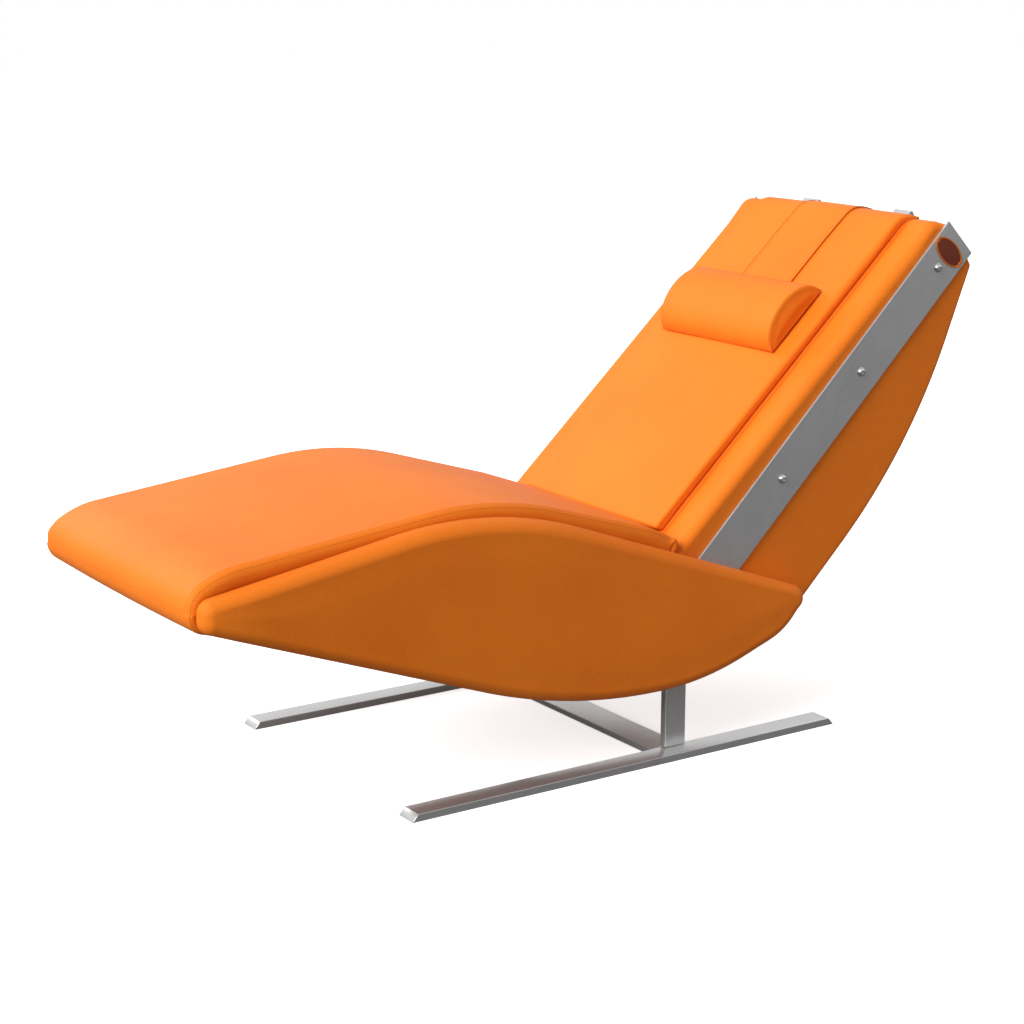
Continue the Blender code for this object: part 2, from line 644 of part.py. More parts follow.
def make_back_frame(back):
    half = BAR_WIDTH / 2
    bar_outline = [(BAR_REACH, -half), (BAR_REACH, half)]
    for k in range(ROUND_END_STEPS + 1):
        angle = math.pi / 2 + math.pi * k / ROUND_END_STEPS
        bar_outline.append((half * math.cos(angle), half * math.sin(angle)))
    screw = round_head(SCREW_HEAD_DIAMETER, SCREW_HEAD_HEIGHT, SCREW_DIAMETER, BAR_THICKNESS + SCREW_BITE)
    hole = SCREW_DIAMETER + 2 * GAP
    hole_end = bar_inner - SCREW_BITE - BLIND_OVERRUN
    screw_pitch = (BAR_REACH - SCREW_FROM_TOP - SCREW_FROM_PIVOT) / (SCREWS_PER_BAR - 1)
    for side, sign in SIDES:
        bar = plate(f"back_bar_{side}", bar_outline, *span(sign, bar_inner, bar_outer), steel, back)
        drill([bar], f"bar_pivot_hole_{side}", PIVOT_BOLT_DIAMETER + 2 * PIVOT_CLEARANCE,
              sign * (bar_inner - HOLE_OVERRUN), sign * (bar_outer + HOLE_OVERRUN), (0.0, 0.0), back)
        rail = box(f"back_rail_{side}", (BACK_RAIL_START, plate_bottom - GAP),
                   span(sign, back_half - BACK_RAIL_WIDTH, back_half), (-rail_half_depth, rail_half_depth),
                   plywood, back)
        for number in range(SCREWS_PER_BAR):
            along = SCREW_FROM_PIVOT + screw_pitch * number
            drill([bar, rail], f"screw_hole_{side}_{number + 1}", hole,
                  sign * hole_end, sign * (bar_outer + HOLE_OVERRUN), (along, 0.0), back)
            turned(f"bar_screw_{side}_{number + 1}", screw, False,
                   (along, sign * (bar_outer + GAP), 0.0), sign, bright, back)
    plate_half = rail_half_depth - TOP_PLATE_MARGIN
    box("top_plate", (plate_bottom, plate_top), (-back_half, back_half),
        (-plate_half, plate_half), steel, back)


def front_panel_corners():
    # The top is slanted, so that its face rolls over to the top plate in one wide arc; the slant limits the arc.
    rear = rail_half_depth + GAP
    top = (front_panel_top, rear)
    bend = (front_panel_top - FRONT_PANEL_SLANT, face_height(front_panel_top - FRONT_PANEL_SLANT))
    foot = (FRONT_PANEL_START, face_height(FRONT_PANEL_START))
    radius = min(FRONT_PANEL_TOP_RADIUS, arc_radius(top, bend, foot, FRONT_PANEL_LIP))
    return [
        (*top, 0.0, 0.0, 0.0),
        (*bend, radius, 0.2, 0.0),
        (*foot, FRONT_PANEL_FOOT_RADIUS, 0.9, 0.0),
        (FRONT_PANEL_START, rear, 0.0, 0.0, 0.0),
    ]


def cushion_corners():
    # The lower end stands just clear of the seat pad; the upper end thins out over the front panel's top.
    knee_top, flank = pad_flank(panel_corners())
    thick = BACK_CUSHION_THICKNESS + GAP
    above_pad = (knee_top[0], knee_top[1] + PAD_CROWN * PAD_REAR_CROWN + BACK_CUSHION_TO_PAD)
    low_inner = on_back(*meet(above_pad, flank, *face_line(GAP)))
    low_outer = on_back(*meet(above_pad, flank, *face_line(thick)))
    foot, bend = inset_corners(front_panel_corners(), (-GAP, -GAP, 0.0, 0.0))[:2]
    slant = unit(foot[0] - bend[0], foot[1] - bend[1])
    end = [foot[k] - BACK_CUSHION_TOP_SETBACK * slant[k] for k in (0, 1)]
    top = (end[0] - BACK_CUSHION_TOP_THICKNESS * slant[1], end[1] + BACK_CUSHION_TOP_THICKNESS * slant[0])
    return [
        (*low_inner, 0.0, 0.0, 0.0),
        (*bend[:2], front_panel_corners()[1][2] + GAP, 0.0, 0.0),
        (*end, 0.0, 0.0, 0.0),
        (*top, BACK_CUSHION_TOP_EDGE, 0.1, 0.3),
        (bend[0], face_height(bend[0]) + thick, BACK_CUSHION_TOP_RADIUS, 0.4, 0.3),
        (head_level, face_height(head_level) + thick, 0.0, 1.0, 1.0),
        (*low_outer, BACK_CUSHION_FOOT_RADIUS, 0.25, 1.0),
    ]


def make_back_upholstery(back):
    rear = rail_half_depth + GAP
    front_panel = front_panel_corners()
    front_panel.insert(2, (head_level, face_height(head_level), 0.0, 1.0, 0.0))
    loft("front_panel", fillet(front_panel), back_half, FRONT_PANEL_ROLL, 0.0, leather, back)
    loft("back_cushion", fillet(cushion_corners()), BACK_CUSHION_HALF_WIDTH, BACK_CUSHION_ROLL,
         BACK_CUSHION_CROWN, leather, back)
    wedge = [
        (BACK_RAIL_START, -rear, WEDGE_FOOT_RADIUS, 0.3, 0.0),
        (WEDGE_FROM_PIVOT, -WEDGE_DEPTH, WEDGE_HEEL_RADIUS, 1.0, 0.0),
        (BAR_REACH - WEDGE_FROM_TOP, -WEDGE_DEPTH, WEDGE_BACK_RADIUS, 1.0, 0.0),
        (plate_top, -rear - WEDGE_HEAD_DEPTH, WEDGE_HEAD_RADIUS, 0.7, 0.0),
        (plate_top, -rear, 0.0, 0.0, 0.0),
    ]
    shell = loft("rear_wedge", fillet(wedge), back_half, WEDGE_ROLL, 0.0, leather, back)
    hollow = inset_corners(wedge, (WEDGE_WALL, WEDGE_WALL, WEDGE_WALL, WEDGE_WALL, -WEDGE_WALL))
    room = back_half - WEDGE_WALL
    cut(shell, plate("wedge_room", fillet(hollow), -room, room, None, back, cutters))


def make_strap(back):
    lift = BACK_CUSHION_CROWN + GAP
    start_height = face_height(STRAP_START) + BACK_CUSHION_THICKNESS + GAP + lift
    drop = rail_half_depth - STRAP_SETBACK
    land = plate_top + GAP
    outline = fillet(cushion_corners())
    over = []
    for (p, q, _, crown), normal in zip(outline, outward_normals(outline)):
        if crown and p > STRAP_START and q > rail_half_depth + STRAP_SETBACK:
            rise = BACK_CUSHION_CROWN * crown + GAP
            over.append((p + normal[0] * rise, q + normal[1] * rise, 0.0))
    run = fillet([
        (STRAP_START, start_height, 0.0),
        *over[::-1],
        (over[0][0], drop, STRAP_BEND),
        (land, drop, STRAP_BEND),
        (land, drop - STRAP_FOOT, 0.0),
    ], closed=False)
    half = STRAP_WIDTH / 2
    plate("strap", strip(run, STRAP_THICKNESS), -half, half, leather, back)
    clamp = land + STRAP_THICKNESS + GAP
    clamp_foot = drop - CLAMP_SETBACK
    box("strap_clamp", (clamp, clamp + CLAMP_THICKNESS), (-half, half),
        (clamp_foot, clamp_foot + CLAMP_WIDTH), steel, back)


def make_clips(back):
    # A bent strip that stands on the top plate, hooked over behind the cushion, with a foot at the rear.
    land = plate_top + GAP
    front = rail_half_depth - STRAP_SETBACK
    outline = strip(fillet([
        (land + CLIP_THICKNESS / 3, front, 0.0),
        (land + CLIP_HEIGHT, front - CLIP_DEPTH / 5, CLIP_BEND),
        (land + 0.8 * CLIP_HEIGHT, front - CLIP_DEPTH, CLIP_BEND),
        (land, front - 1.4 * CLIP_DEPTH, CLIP_BEND),
        (land, front - 1.4 * CLIP_DEPTH - CLIP_FOOT, 0.0),
    ], closed=False), CLIP_THICKNESS)
    for side, sign in SIDES:
        middle = sign * CLIP_SPACING / 2
        plate(f"top_clip_{side}", outline, middle - CLIP_WIDTH / 2, middle + CLIP_WIDTH / 2, steel, back)


def make_pillow(track):
    # Half an ellipse over a flat base; the roll fades out towards the base.
    outline = []
    for k in range(PILLOW_STEPS + 1):
        angle = math.pi * k / PILLOW_STEPS
        rise = PILLOW_HEIGHT * math.sin(angle)
        outline.append((PILLOW_LENGTH / 2 * math.cos(angle), rise, min(1.0, rise / (2 * PILLOW_ROLL)), 0.0))
    loft("head_pillow", outline, PILLOW_WIDTH / 2, PILLOW_ROLL, 0.0, leather, track)


def new_empty(name, location, turn, parent=None):
    empty = bpy.data.objects.new(name, None)
    empty.location = location
    empty.rotation_euler = (0.0, turn, 0.0)
    empty.parent = parent
    parts.objects.link(empty)
    return empty


clear_scene()
parts = new_collection("parts")
cutters = new_collection("cutters")
leather = new_material("orange leather", (0.90, 0.28, 0.06), 0.0, 0.45)
steel = new_material("satin steel", (0.42, 0.42, 0.43), 1.0, 0.38)
bright = new_material("bright steel", (0.70, 0.70, 0.72), 1.0, 0.15)
plywood = new_material("birch plywood", (0.62, 0.45, 0.27), 0.0, 0.60)

back_pivot = new_empty("back_pivot", (PIVOT_X, 0.0, PIVOT_Z), -math.radians(BACK_ANGLE))
strap_top = BACK_CUSHION_THICKNESS + BACK_CUSHION_CROWN + STRAP_THICKNESS + 2 * GAP
pillow_base = face_height(PILLOW_MIDDLE) + strap_top + GAP
pillow_track = new_empty("pillow_track", (PILLOW_MIDDLE, 0.0, pillow_base), math.atan(FACE_TAPER), back_pivot)

make_seat(make_base())
make_hip(back_pivot)
make_back_frame(back_pivot)
make_back_upholstery(back_pivot)
make_strap(back_pivot)
make_clips(back_pivot)
make_pillow(pillow_track)
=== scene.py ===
import math

import bmesh
import bpy
import numpy as np
from mathutils import Matrix


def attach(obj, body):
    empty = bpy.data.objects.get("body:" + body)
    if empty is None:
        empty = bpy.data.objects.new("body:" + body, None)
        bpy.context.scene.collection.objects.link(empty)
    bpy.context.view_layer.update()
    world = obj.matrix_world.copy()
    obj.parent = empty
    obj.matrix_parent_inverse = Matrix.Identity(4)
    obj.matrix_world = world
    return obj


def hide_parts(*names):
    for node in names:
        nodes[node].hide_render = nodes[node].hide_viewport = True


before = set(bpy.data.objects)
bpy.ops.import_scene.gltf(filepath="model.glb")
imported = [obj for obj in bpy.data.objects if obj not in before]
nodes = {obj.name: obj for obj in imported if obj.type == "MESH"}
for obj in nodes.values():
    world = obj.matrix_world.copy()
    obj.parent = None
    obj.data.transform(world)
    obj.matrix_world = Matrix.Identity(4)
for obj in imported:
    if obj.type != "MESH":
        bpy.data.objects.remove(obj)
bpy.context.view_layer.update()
print("frame loaded:", len(nodes), "nodes")

# Metres, foot end at -X, near side at -Y. Back pieces are laid out as (along the bars, across, off the bars).
backFrame = {"pivotX": 0.15435, "pivotZ": 0.2895, "angle": 44.49}
sides = (("near", -1), ("far", 1))


def backToWorld(points):
    # Turns (along, across, off) about the pivot by the back's angle.
    c, s = math.cos(math.radians(backFrame["angle"])), math.sin(math.radians(backFrame["angle"]))
    along, across, off = np.moveaxis(np.asarray(points, float), -1, 0)
    x = backFrame["pivotX"] + along * c - off * s
    z = backFrame["pivotZ"] + along * s + off * c
    return np.stack([x, across, z], -1)


def placeObject(item, right, up, back, place):
    # Stands an object at its place, with its own axes along right, up and back.
    columns = np.eye(4)
    columns[:3] = np.stack([right, up, back, place], 1)
    item.matrix_world = Matrix(columns.tolist())
    bpy.context.scene.collection.objects.link(item)


# camera

cameraSettings = {"eye": (-2.50205, -3.7002, 1.5305), "azimuth": -33.641, "elevation": 13.505, "roll": 0.058,
                  "lens": 79.46, "sensor": 36.0, "clipEnd": 200.0}


def makeCamera(s):
    # The view axis from two angles, then a small roll about it.
    turn, rise, roll = (math.radians(s[k]) for k in ("azimuth", "elevation", "roll"))
    back = np.array([math.sin(turn) * math.cos(rise), -math.cos(turn) * math.cos(rise), math.sin(rise)])
    level = np.array([math.cos(turn), math.sin(turn), 0.0])
    right = math.cos(roll) * level + math.sin(roll) * np.cross(back, level)
    data = bpy.data.cameras.new("camera")
    data.lens = s["lens"]
    data.sensor_width = s["sensor"]
    data.clip_end = s["clipEnd"]
    camera = bpy.data.objects.new("camera", data)
    placeObject(camera, right, np.cross(back, right), back, s["eye"])
    bpy.context.scene.camera = camera


makeCamera(cameraSettings)
print("camera placed")


# shader helpers

def addNode(tree, kind, values=None, **settings):
    # Settings are the node's own; values are sockets to link or plain numbers for its inputs.
    node = tree.nodes.new(kind)
    for key, value in settings.items():
        setattr(node, key, value)
    for key, value in (values or {}).items():
        if isinstance(value, bpy.types.NodeSocket):
            tree.links.new(value, node.inputs[key])
        else:
            node.inputs[key].default_value = value
    return node


def newGroup(name, inputs, outputs):
    group = bpy.data.node_groups.new(name, "ShaderNodeTree")
    for label, value in inputs.items():
        socket = group.interface.new_socket(label, in_out="INPUT", socket_type="NodeSocketFloat")
        socket.default_value = value
    for label in outputs:
        group.interface.new_socket(label, in_out="OUTPUT", socket_type="NodeSocketFloat")
    return group, group.nodes.new("NodeGroupInput"), group.nodes.new("NodeGroupOutput")


def objectPlace(tree):
    return addNode(tree, "ShaderNodeTexCoord").outputs["Object"]


def mathNode(tree, operation, first, second=0.0):
    return addNode(tree, "ShaderNodeMath", {0: first, 1: second}, operation=operation).outputs[0]


def vectorNode(tree, operation, first, second):
    return addNode(tree, "ShaderNodeVectorMath", {0: first, 1: second}, operation=operation).outputs[0]


def mapRange(tree, value, low, high, outLow, outHigh):
    node = addNode(tree, "ShaderNodeMapRange", {"Value": value, "From Min": low, "From Max": high,
                                                "To Min": outLow, "To Max": outHigh})
    return node.outputs["Result"]


def noiseNode(tree, place, scale, detail, roughness=0.5):
    return addNode(tree, "ShaderNodeTexNoise", {"Vector": place, "Scale": scale, "Detail": detail,
                                                "Roughness": roughness}).outputs


grainSettings = {"warpScale": 420.0, "warp": 0.0011, "soften": 0.4, "pebbleSpan": (0.1, 0.75),
                 "crackWidth": 0.12, "crackDepth": 0.5, "poreScale": 1900.0, "driftScale": 5.0,
                 "driftRough": 0.55, "driftShare": 0.7, "speckScale": 230.0, "noiseSpan": (0.3, 0.7)}


def makeGrainGroup(s):
    # Leather: pebbles from warped cells, sunk beside the cracks, fine pores on top, and a slow drift of tone.
    group, inside, out = newGroup("hideGrain", {"Pebble Size": 0.0016, "Pore Amount": 0.25},
                                  ["Height", "Tone", "Crease"])
    place = objectPlace(group)
    perMetre = mathNode(group, "DIVIDE", 1.0, inside.outputs["Pebble Size"])
    warp = noiseNode(group, place, s["warpScale"], detail=2.0)["Color"]
    moved = vectorNode(group, "ADD", place, vectorNode(group, "MULTIPLY", warp, (s["warp"],) * 3))
    cells = addNode(group, "ShaderNodeTexVoronoi", {"Vector": moved, "Scale": perMetre,
                                                    "Smoothness": s["soften"]}, feature="SMOOTH_F1")
    cracks = addNode(group, "ShaderNodeTexVoronoi", {"Vector": moved, "Scale": perMetre},
                     feature="DISTANCE_TO_EDGE")
    pebble = mapRange(group, cells.outputs["Distance"], *s["pebbleSpan"], 1.0, 0.0)
    crack = mapRange(group, cracks.outputs["Distance"], 0.0, s["crackWidth"], 0.0, 1.0)
    sunk = mapRange(group, crack, 0.0, 1.0, 1.0 - s["crackDepth"], 1.0)
    pores = noiseNode(group, place, s["poreScale"], detail=3.0)["Fac"]
    pore = mathNode(group, "MULTIPLY", pores, inside.outputs["Pore Amount"])
    height = mathNode(group, "ADD", mathNode(group, "MULTIPLY", pebble, sunk), pore)
    drift = noiseNode(group, place, s["driftScale"], detail=4.0, roughness=s["driftRough"])["Fac"]
    speck = noiseNode(group, place, s["speckScale"], detail=3.0)["Fac"]
    slow = mapRange(group, drift, *s["noiseSpan"], 0.0, s["driftShare"])
    fine = mapRange(group, speck, *s["noiseSpan"], 0.0, 1.0 - s["driftShare"])
    group.links.new(height, out.inputs["Height"])
    group.links.new(mathNode(group, "ADD", slow, fine), out.inputs["Tone"])
    group.links.new(crack, out.inputs["Crease"])
    return group


brushSettings = {"detail": 4.0, "roughness": 0.6, "smudgeScale": 9.0, "smudgeSpan": (0.3, 0.7),
                 "strokeSpan": (0.25, 0.75), "bumpReach": 0.0001}


def makeBrushGroup(s):
    # Steel: long fine strokes along one axis and soft smudges.
    group, inside, out = newGroup("brushStrokes", {"Across X": 900.0, "Across Y": 900.0, "Across Z": 900.0,
                                                   "Turn": 0.0}, ["Stroke", "Smudge"])
    place = addNode(group, "ShaderNodeVectorRotate", {"Vector": objectPlace(group),
                                                      "Angle": inside.outputs["Turn"]},
                    rotation_type="Y_AXIS").outputs[0]
    stretches = {axis: inside.outputs["Across " + axis] for axis in "XYZ"}
    stretch = addNode(group, "ShaderNodeCombineXYZ", stretches).outputs[0]
    drawn = vectorNode(group, "MULTIPLY", place, stretch)
    strokes = noiseNode(group, drawn, 1.0, s["detail"], s["roughness"])["Fac"]
    smudge = noiseNode(group, place, s["smudgeScale"], s["detail"], s["roughness"])["Fac"]
    group.links.new(strokes, out.inputs["Stroke"])
    group.links.new(smudge, out.inputs["Smudge"])
    return group


hideGrain = makeGrainGroup(grainSettings)
brushStrokes = makeBrushGroup(brushSettings)


def newMaterial(name, values):
    material = bpy.data.materials.new(name)
    material.use_nodes = True
    tree = material.node_tree
    tree.nodes.clear()
    shader = addNode(tree, "ShaderNodeBsdfPrincipled", values)
    out = addNode(tree, "ShaderNodeOutputMaterial")
    tree.links.new(shader.outputs["BSDF"], out.inputs["Surface"])
    return material, tree, shader


def blendColours(tree, factor, first, second, blend="MIX"):
    # The factor is a socket or a number, a colour is a socket or (red, green, blue).
    values = {0: factor}
    for key, colour in (("A", first), ("B", second)):
        values[key] = colour if isinstance(colour, bpy.types.NodeSocket) else (*colour, 1.0)
    node = addNode(tree, "ShaderNodeMix", values, data_type="RGBA", blend_type=blend)
    return [socket for socket in node.outputs if socket.enabled][0]


def addBump(tree, shader, height, strength, reach):
    bump = addNode(tree, "ShaderNodeBump", {"Strength": strength, "Distance": reach, "Height": height})
    tree.links.new(bump.outputs["Normal"], shader.inputs["Normal"])


def makeLeather(name, s):
    material, tree, shader = newMaterial(name, {"Specular IOR Level": s["gloss"], "Sheen Weight": s["sheen"],
                                                "Sheen Roughness": s["sheenRough"],
                                                "Sheen Tint": s["sheenTint"]})
    grain = addNode(tree, "ShaderNodeGroup", {"Pebble Size": s["pebble"], "Pore Amount": s["pores"]},
                    node_tree=hideGrain).outputs
    tone = blendColours(tree, grain["Tone"], s["deep"], s["light"])
    creased = blendColours(tree, s["creaseTint"], tone, grain["Crease"], blend="MULTIPLY")
    rough = mapRange(tree, grain["Height"], 0.0, s["heightSpan"], s["rough"][1], s["rough"][0])
    tree.links.new(creased, shader.inputs["Base Color"])
    tree.links.new(rough, shader.inputs["Roughness"])
    addBump(tree, shader, grain["Height"], s["bump"], s["bumpReach"])
    return material


def makeMetal(name, s):
    material, tree, shader = newMaterial(name, {"Metallic": s["metallic"]})
    strokes = {"Across " + axis: value for axis, value in zip("XYZ", s["strokes"])}
    brush = addNode(tree, "ShaderNodeGroup", {**strokes, "Turn": math.radians(s.get("turn", 0.0))},
                    node_tree=brushStrokes).outputs
    smudge = mapRange(tree, brush["Smudge"], *brushSettings["smudgeSpan"], 0.0, 1.0)
    rough = mapRange(tree, brush["Stroke"], *brushSettings["strokeSpan"], *s["rough"])
    tree.links.new(blendColours(tree, smudge, s["dark"], s["light"]), shader.inputs["Base Color"])
    tree.links.new(rough, shader.inputs["Roughness"])
    addBump(tree, shader, brush["Stroke"], s["bump"], brushSettings["bumpReach"])
    return material


leatherSettings = {"deep": (0.9, 0.194, 0.009), "light": (0.98, 0.234, 0.012), "gloss": 0.18, "sheen": 0.025,
                   "sheenRough": 0.5, "sheenTint": (1.0, 0.82, 0.66, 1.0), "pebble": 0.0017, "pores": 0.3,
                   "creaseTint": 0.2, "heightSpan": 1.2, "rough": (0.46, 0.6), "bump": 0.65,
                   "bumpReach": 0.0005}
steelSettings = {"metallic": 0.75, "dark": (0.54, 0.541, 0.543), "light": (0.6, 0.601, 0.603),
                 "strokes": (9.0, 900.0, 900.0), "rough": (0.26, 0.34), "bump": 0.03}
uprightSettings = {**steelSettings, "strokes": (900.0, 900.0, 9.0)}
barSteelSettings = {**steelSettings, "turn": backFrame["angle"]}
chromeSettings = {"metallic": 1.0, "dark": (0.52, 0.52, 0.53), "light": (0.6, 0.6, 0.61),
                  "strokes": (300.0, 300.0, 300.0), "rough": (0.1, 0.18), "bump": 0.03}
copperSettings = {"metallic": 0.5, "dark": (0.62, 0.15, 0.02), "light": (0.74, 0.22, 0.04),
                  "strokes": (500.0, 500.0, 500.0), "rough": (0.3, 0.42), "bump": 0.06}
enamelSettings = {"metallic": 0.3, "dark": (0.16, 0.02, 0.003), "light": (0.21, 0.03, 0.004),
                  "strokes": (300.0, 300.0, 300.0), "rough": (0.35, 0.45), "bump": 0.04}
# Dark brown for the thin tubes in the pillow's seam grooves and along the strap's edges: painted shade lines
# that stand in for the shadow there.
shadeLineSettings = {**leatherSettings, "deep": (0.2, 0.028, 0.001), "light": (0.28, 0.042, 0.001), "gloss": 0.1}

orangeLeather = makeLeather("orangeLeather", leatherSettings)
satinSteel = makeMetal("satinSteel", steelSettings)
uprightSteel = makeMetal("uprightSteel", uprightSettings)
barSteel = makeMetal("barSteel", barSteelSettings)
brightSteel = makeMetal("brightSteel", chromeSettings)
copperRim = makeMetal("copperRim", copperSettings)
brownEnamel = makeMetal("brownEnamel", enamelSettings)
paintedShadeLine = makeLeather("paintedShadeLine", shadeLineSettings)

twistSettings = {"dark": (0.34, 0.055, 0.002), "light": (0.52, 0.1, 0.005), "rough": 0.7, "gloss": 0.2,
                 "scale": 1600.0, "bump": 0.5, "bumpReach": 0.0002}


def makeThread(s):
    material, tree, shader = newMaterial("sewingThread", {"Roughness": s["rough"],
                                                          "Specular IOR Level": s["gloss"]})
    twist = noiseNode(tree, objectPlace(tree), s["scale"], detail=2.0)["Fac"]
    tree.links.new(blendColours(tree, twist, s["dark"], s["light"]), shader.inputs["Base Color"])
    addBump(tree, shader, twist, s["bump"], s["bumpReach"])
    return material


plywoodSettings = {"dark": (0.42, 0.26, 0.13), "light": (0.72, 0.52, 0.31), "gloss": 0.3, "rough": (0.5, 0.7),
                   "stretch": (6.0, 60.0, 60.0), "grainScale": 3.0, "veneerScale": 120.0, "veneerShare": 0.3,
                   "mixSpan": (0.2, 0.8), "bump": 0.2, "bumpReach": 0.0003}


def makePlywood(s):
    # Veneers stacked along Z with a drawn-out grain along X.
    material, tree, shader = newMaterial("birchPlywood", {"Specular IOR Level": s["gloss"]})
    place = objectPlace(tree)
    drawn = addNode(tree, "ShaderNodeMapping", {"Vector": place, "Scale": s["stretch"]}).outputs[0]
    grain = noiseNode(tree, drawn, s["grainScale"], detail=6.0, roughness=0.6)["Fac"]
    veneer = addNode(tree, "ShaderNodeTexWave", {"Vector": place, "Scale": s["veneerScale"],
                                                 "Distortion": 1.2, "Detail": 2.0},
                     wave_type="BANDS", bands_direction="Z").outputs["Fac"]
    mixed = mathNode(tree, "ADD", mathNode(tree, "MULTIPLY", grain, 1.0 - s["veneerShare"]),
                     mathNode(tree, "MULTIPLY", veneer, s["veneerShare"]))
    tree.links.new(blendColours(tree, mixed, s["dark"], s["light"]), shader.inputs["Base Color"])
    tree.links.new(mapRange(tree, mixed, *s["mixSpan"], *s["rough"]), shader.inputs["Roughness"])
    addBump(tree, shader, mixed, s["bump"], s["bumpReach"])
    return material


sewingThread = makeThread(twistSettings)
birchPlywood = makePlywood(plywoodSettings)
print("materials made")


# mesh helpers

meshSettings = {"merge": 2e-6, "thin": 1e-7}
outlineSettings = {"sharedEdge": 0.65, "sharp": 1e-5, "straight": 1e-3, "leastSteps": 4}

# Rows taken beside a seam and a groove, in widths of their bells.
seamRows = np.array([-2.4, -1.6, -1.0, -0.5, 0.0, 0.5, 1.0, 1.6, 2.4])
grooveRows = np.array([-3.0, -2.2, -1.6, -1.1, -0.7, -0.35, 0.0, 0.35, 0.7, 1.1, 1.6, 2.2, 3.0])


def unitRows(vectors):
    return vectors / np.maximum(np.linalg.norm(vectors, axis=-1, keepdims=True), 1e-12)


def aroundCircle(count):
    return np.linspace(0.0, 2.0 * math.pi, count, endpoint=False)


def quadFaces(rows, columns, wrapColumns=True):
    # Corner numbers of the quads between neighbouring rows and columns of a grid.
    r = np.arange(rows - 1)[:, None]
    c = np.arange(columns if wrapColumns else columns - 1)[None, :]
    r2, c2 = r + 1, (c + 1) % columns
    corners = [r * columns + c, r * columns + c2, r2 * columns + c2, r2 * columns + c]
    return np.stack(corners, -1).reshape(-1, 4)


def liddedFaces(grid, firstLid=True):
    # The quads between closed rows, with a lid on the last row and, if asked for, on the first.
    rows, count = grid.shape[:2]
    lids = [list(range(count))[::-1]] if firstLid else []
    lids.append(list(range((rows - 1) * count, rows * count)))
    return quadFaces(rows, count).tolist() + lids


def addPiece(name, points, faces, material, smoothAngle=40.0):
    mesh = bpy.data.meshes.new(name)
    mesh.from_pydata(np.asarray(points).reshape(-1, 3).tolist(), [], [list(face) for face in faces])
    work = bmesh.new()
    work.from_mesh(mesh)
    bmesh.ops.remove_doubles(work, verts=work.verts, dist=meshSettings["merge"])
    bmesh.ops.dissolve_degenerate(work, edges=work.edges, dist=meshSettings["thin"])
    bmesh.ops.recalc_face_normals(work, faces=work.faces)
    work.to_mesh(mesh)
    work.free()
    mesh.materials.append(material)
    mesh.shade_smooth()
    mesh.set_sharp_from_angle(angle=math.radians(smoothAngle))
    piece = bpy.data.objects.new(name, mesh)
    bpy.context.scene.collection.objects.link(piece)
    return piece


def settle(piece, body, slot, *replaced):
    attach(piece, body)
    if replaced:
        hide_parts(*replaced)
    return piece


def roundedOutline(corners, closed=True, stepDegrees=1.5):
    # Straight edges joined by arcs. A corner is (p, q, radius, weights), and its arc touches both edges. It
    # may take all of an edge that ends in a sharp corner, and a share of one that ends in another arc.
    limits = outlineSettings
    corners = np.array(corners, float)
    count = len(corners)
    runs = []
    for i, here in enumerate(corners):
        plain = np.delete(here, 2)[None]
        if not closed and i in (0, count - 1):
            runs.append(plain)
            continue
        before, after = corners[i - 1], corners[(i + 1) % count]
        into, out = here[:2] - before[:2], after[:2] - here[:2]
        room = [np.hypot(*edge) * (limits["sharedEdge"] if other[2] else 1.0)
                for edge, other in ((into, before), (out, after))]
        into, out = into / np.hypot(*into), out / np.hypot(*out)
        turn = math.atan2(into[0] * out[1] - into[1] * out[0], into @ out)
        if here[2] < limits["sharp"] or abs(turn) < limits["straight"]:
            runs.append(plain)
            continue
        reach = min(here[2] * math.tan(abs(turn) / 2), *room)
        radius = reach / math.tan(abs(turn) / 2)
        start = here[:2] - into * reach
        inward = np.array([-into[1], into[0]]) * math.copysign(radius, turn)
        steps = max(limits["leastSteps"], math.ceil(abs(math.degrees(turn)) / stepDegrees))
        angles = np.linspace(0.0, turn, steps + 1)
        c, s = np.cos(angles)[:, None], np.sin(angles)[:, None]
        arm = -inward
        arc = start + inward + c * arm + s * np.array([-arm[1], arm[0]])
        runs.append(np.hstack([arc, np.repeat(plain[:, 2:], len(arc), 0)]))
    return np.vstack(runs)


def spread(run, count, bend, keepEnd=False):
    # Resamples a run of rows, closer together where it bends: the measure is length plus bend times angle.
    step = np.diff(run[:, :2], axis=0)
    length = np.hypot(step[:, 0], step[:, 1])
    heading = np.unwrap(np.arctan2(step[:, 1], step[:, 0]))
    turn = np.abs(np.diff(heading, prepend=heading[0], append=heading[-1]))
    measure = np.concatenate([[0.0], np.cumsum(length + bend * (turn[:-1] + turn[1:]) / 2)])
    at = np.linspace(0.0, measure[-1], count + (0 if keepEnd else 1))
    rows = np.stack([np.interp(at, measure, run[:, k]) for k in range(run.shape[1])], -1)
    return rows if keepEnd else rows[:-1]


def pairedRing(corners, firstEnd, secondEnd, count, bend=0.03):
    # A closed outline split at its two ends, with as many points on either run: point i faces point -i.
    outline = roundedOutline(corners)
    start = np.argmin(np.hypot(*(outline[:, :2] - firstEnd).T))
    outline = np.vstack([np.roll(outline, -start, 0), outline[start]])
    split = np.argmin(np.hypot(*(outline[:, :2] - secondEnd).T))
    return np.vstack([spread(outline[:split + 1], count, bend), spread(outline[split:], count, bend)])


def outwardNormals(ring):
    # To the right of the direction of travel, which is outward on an anticlockwise ring.
    along = np.roll(ring[:, :2], -1, 0) - np.roll(ring[:, :2], 1, 0)
    return unitRows(np.stack([along[:, 1], -along[:, 0]], -1))


def crownOff(ring, s, half, y):
    # The crown swells the outline by one minus the square of its share of the half width; a groove is a bell.
    out = s["crown"] * (1.0 - (y / half) ** 2)
    for place, width, depth in s.get("grooves", ()):
        out = out - depth * np.exp(-((np.abs(y) - place) / width) ** 2)
    return ring[:, 3] * out


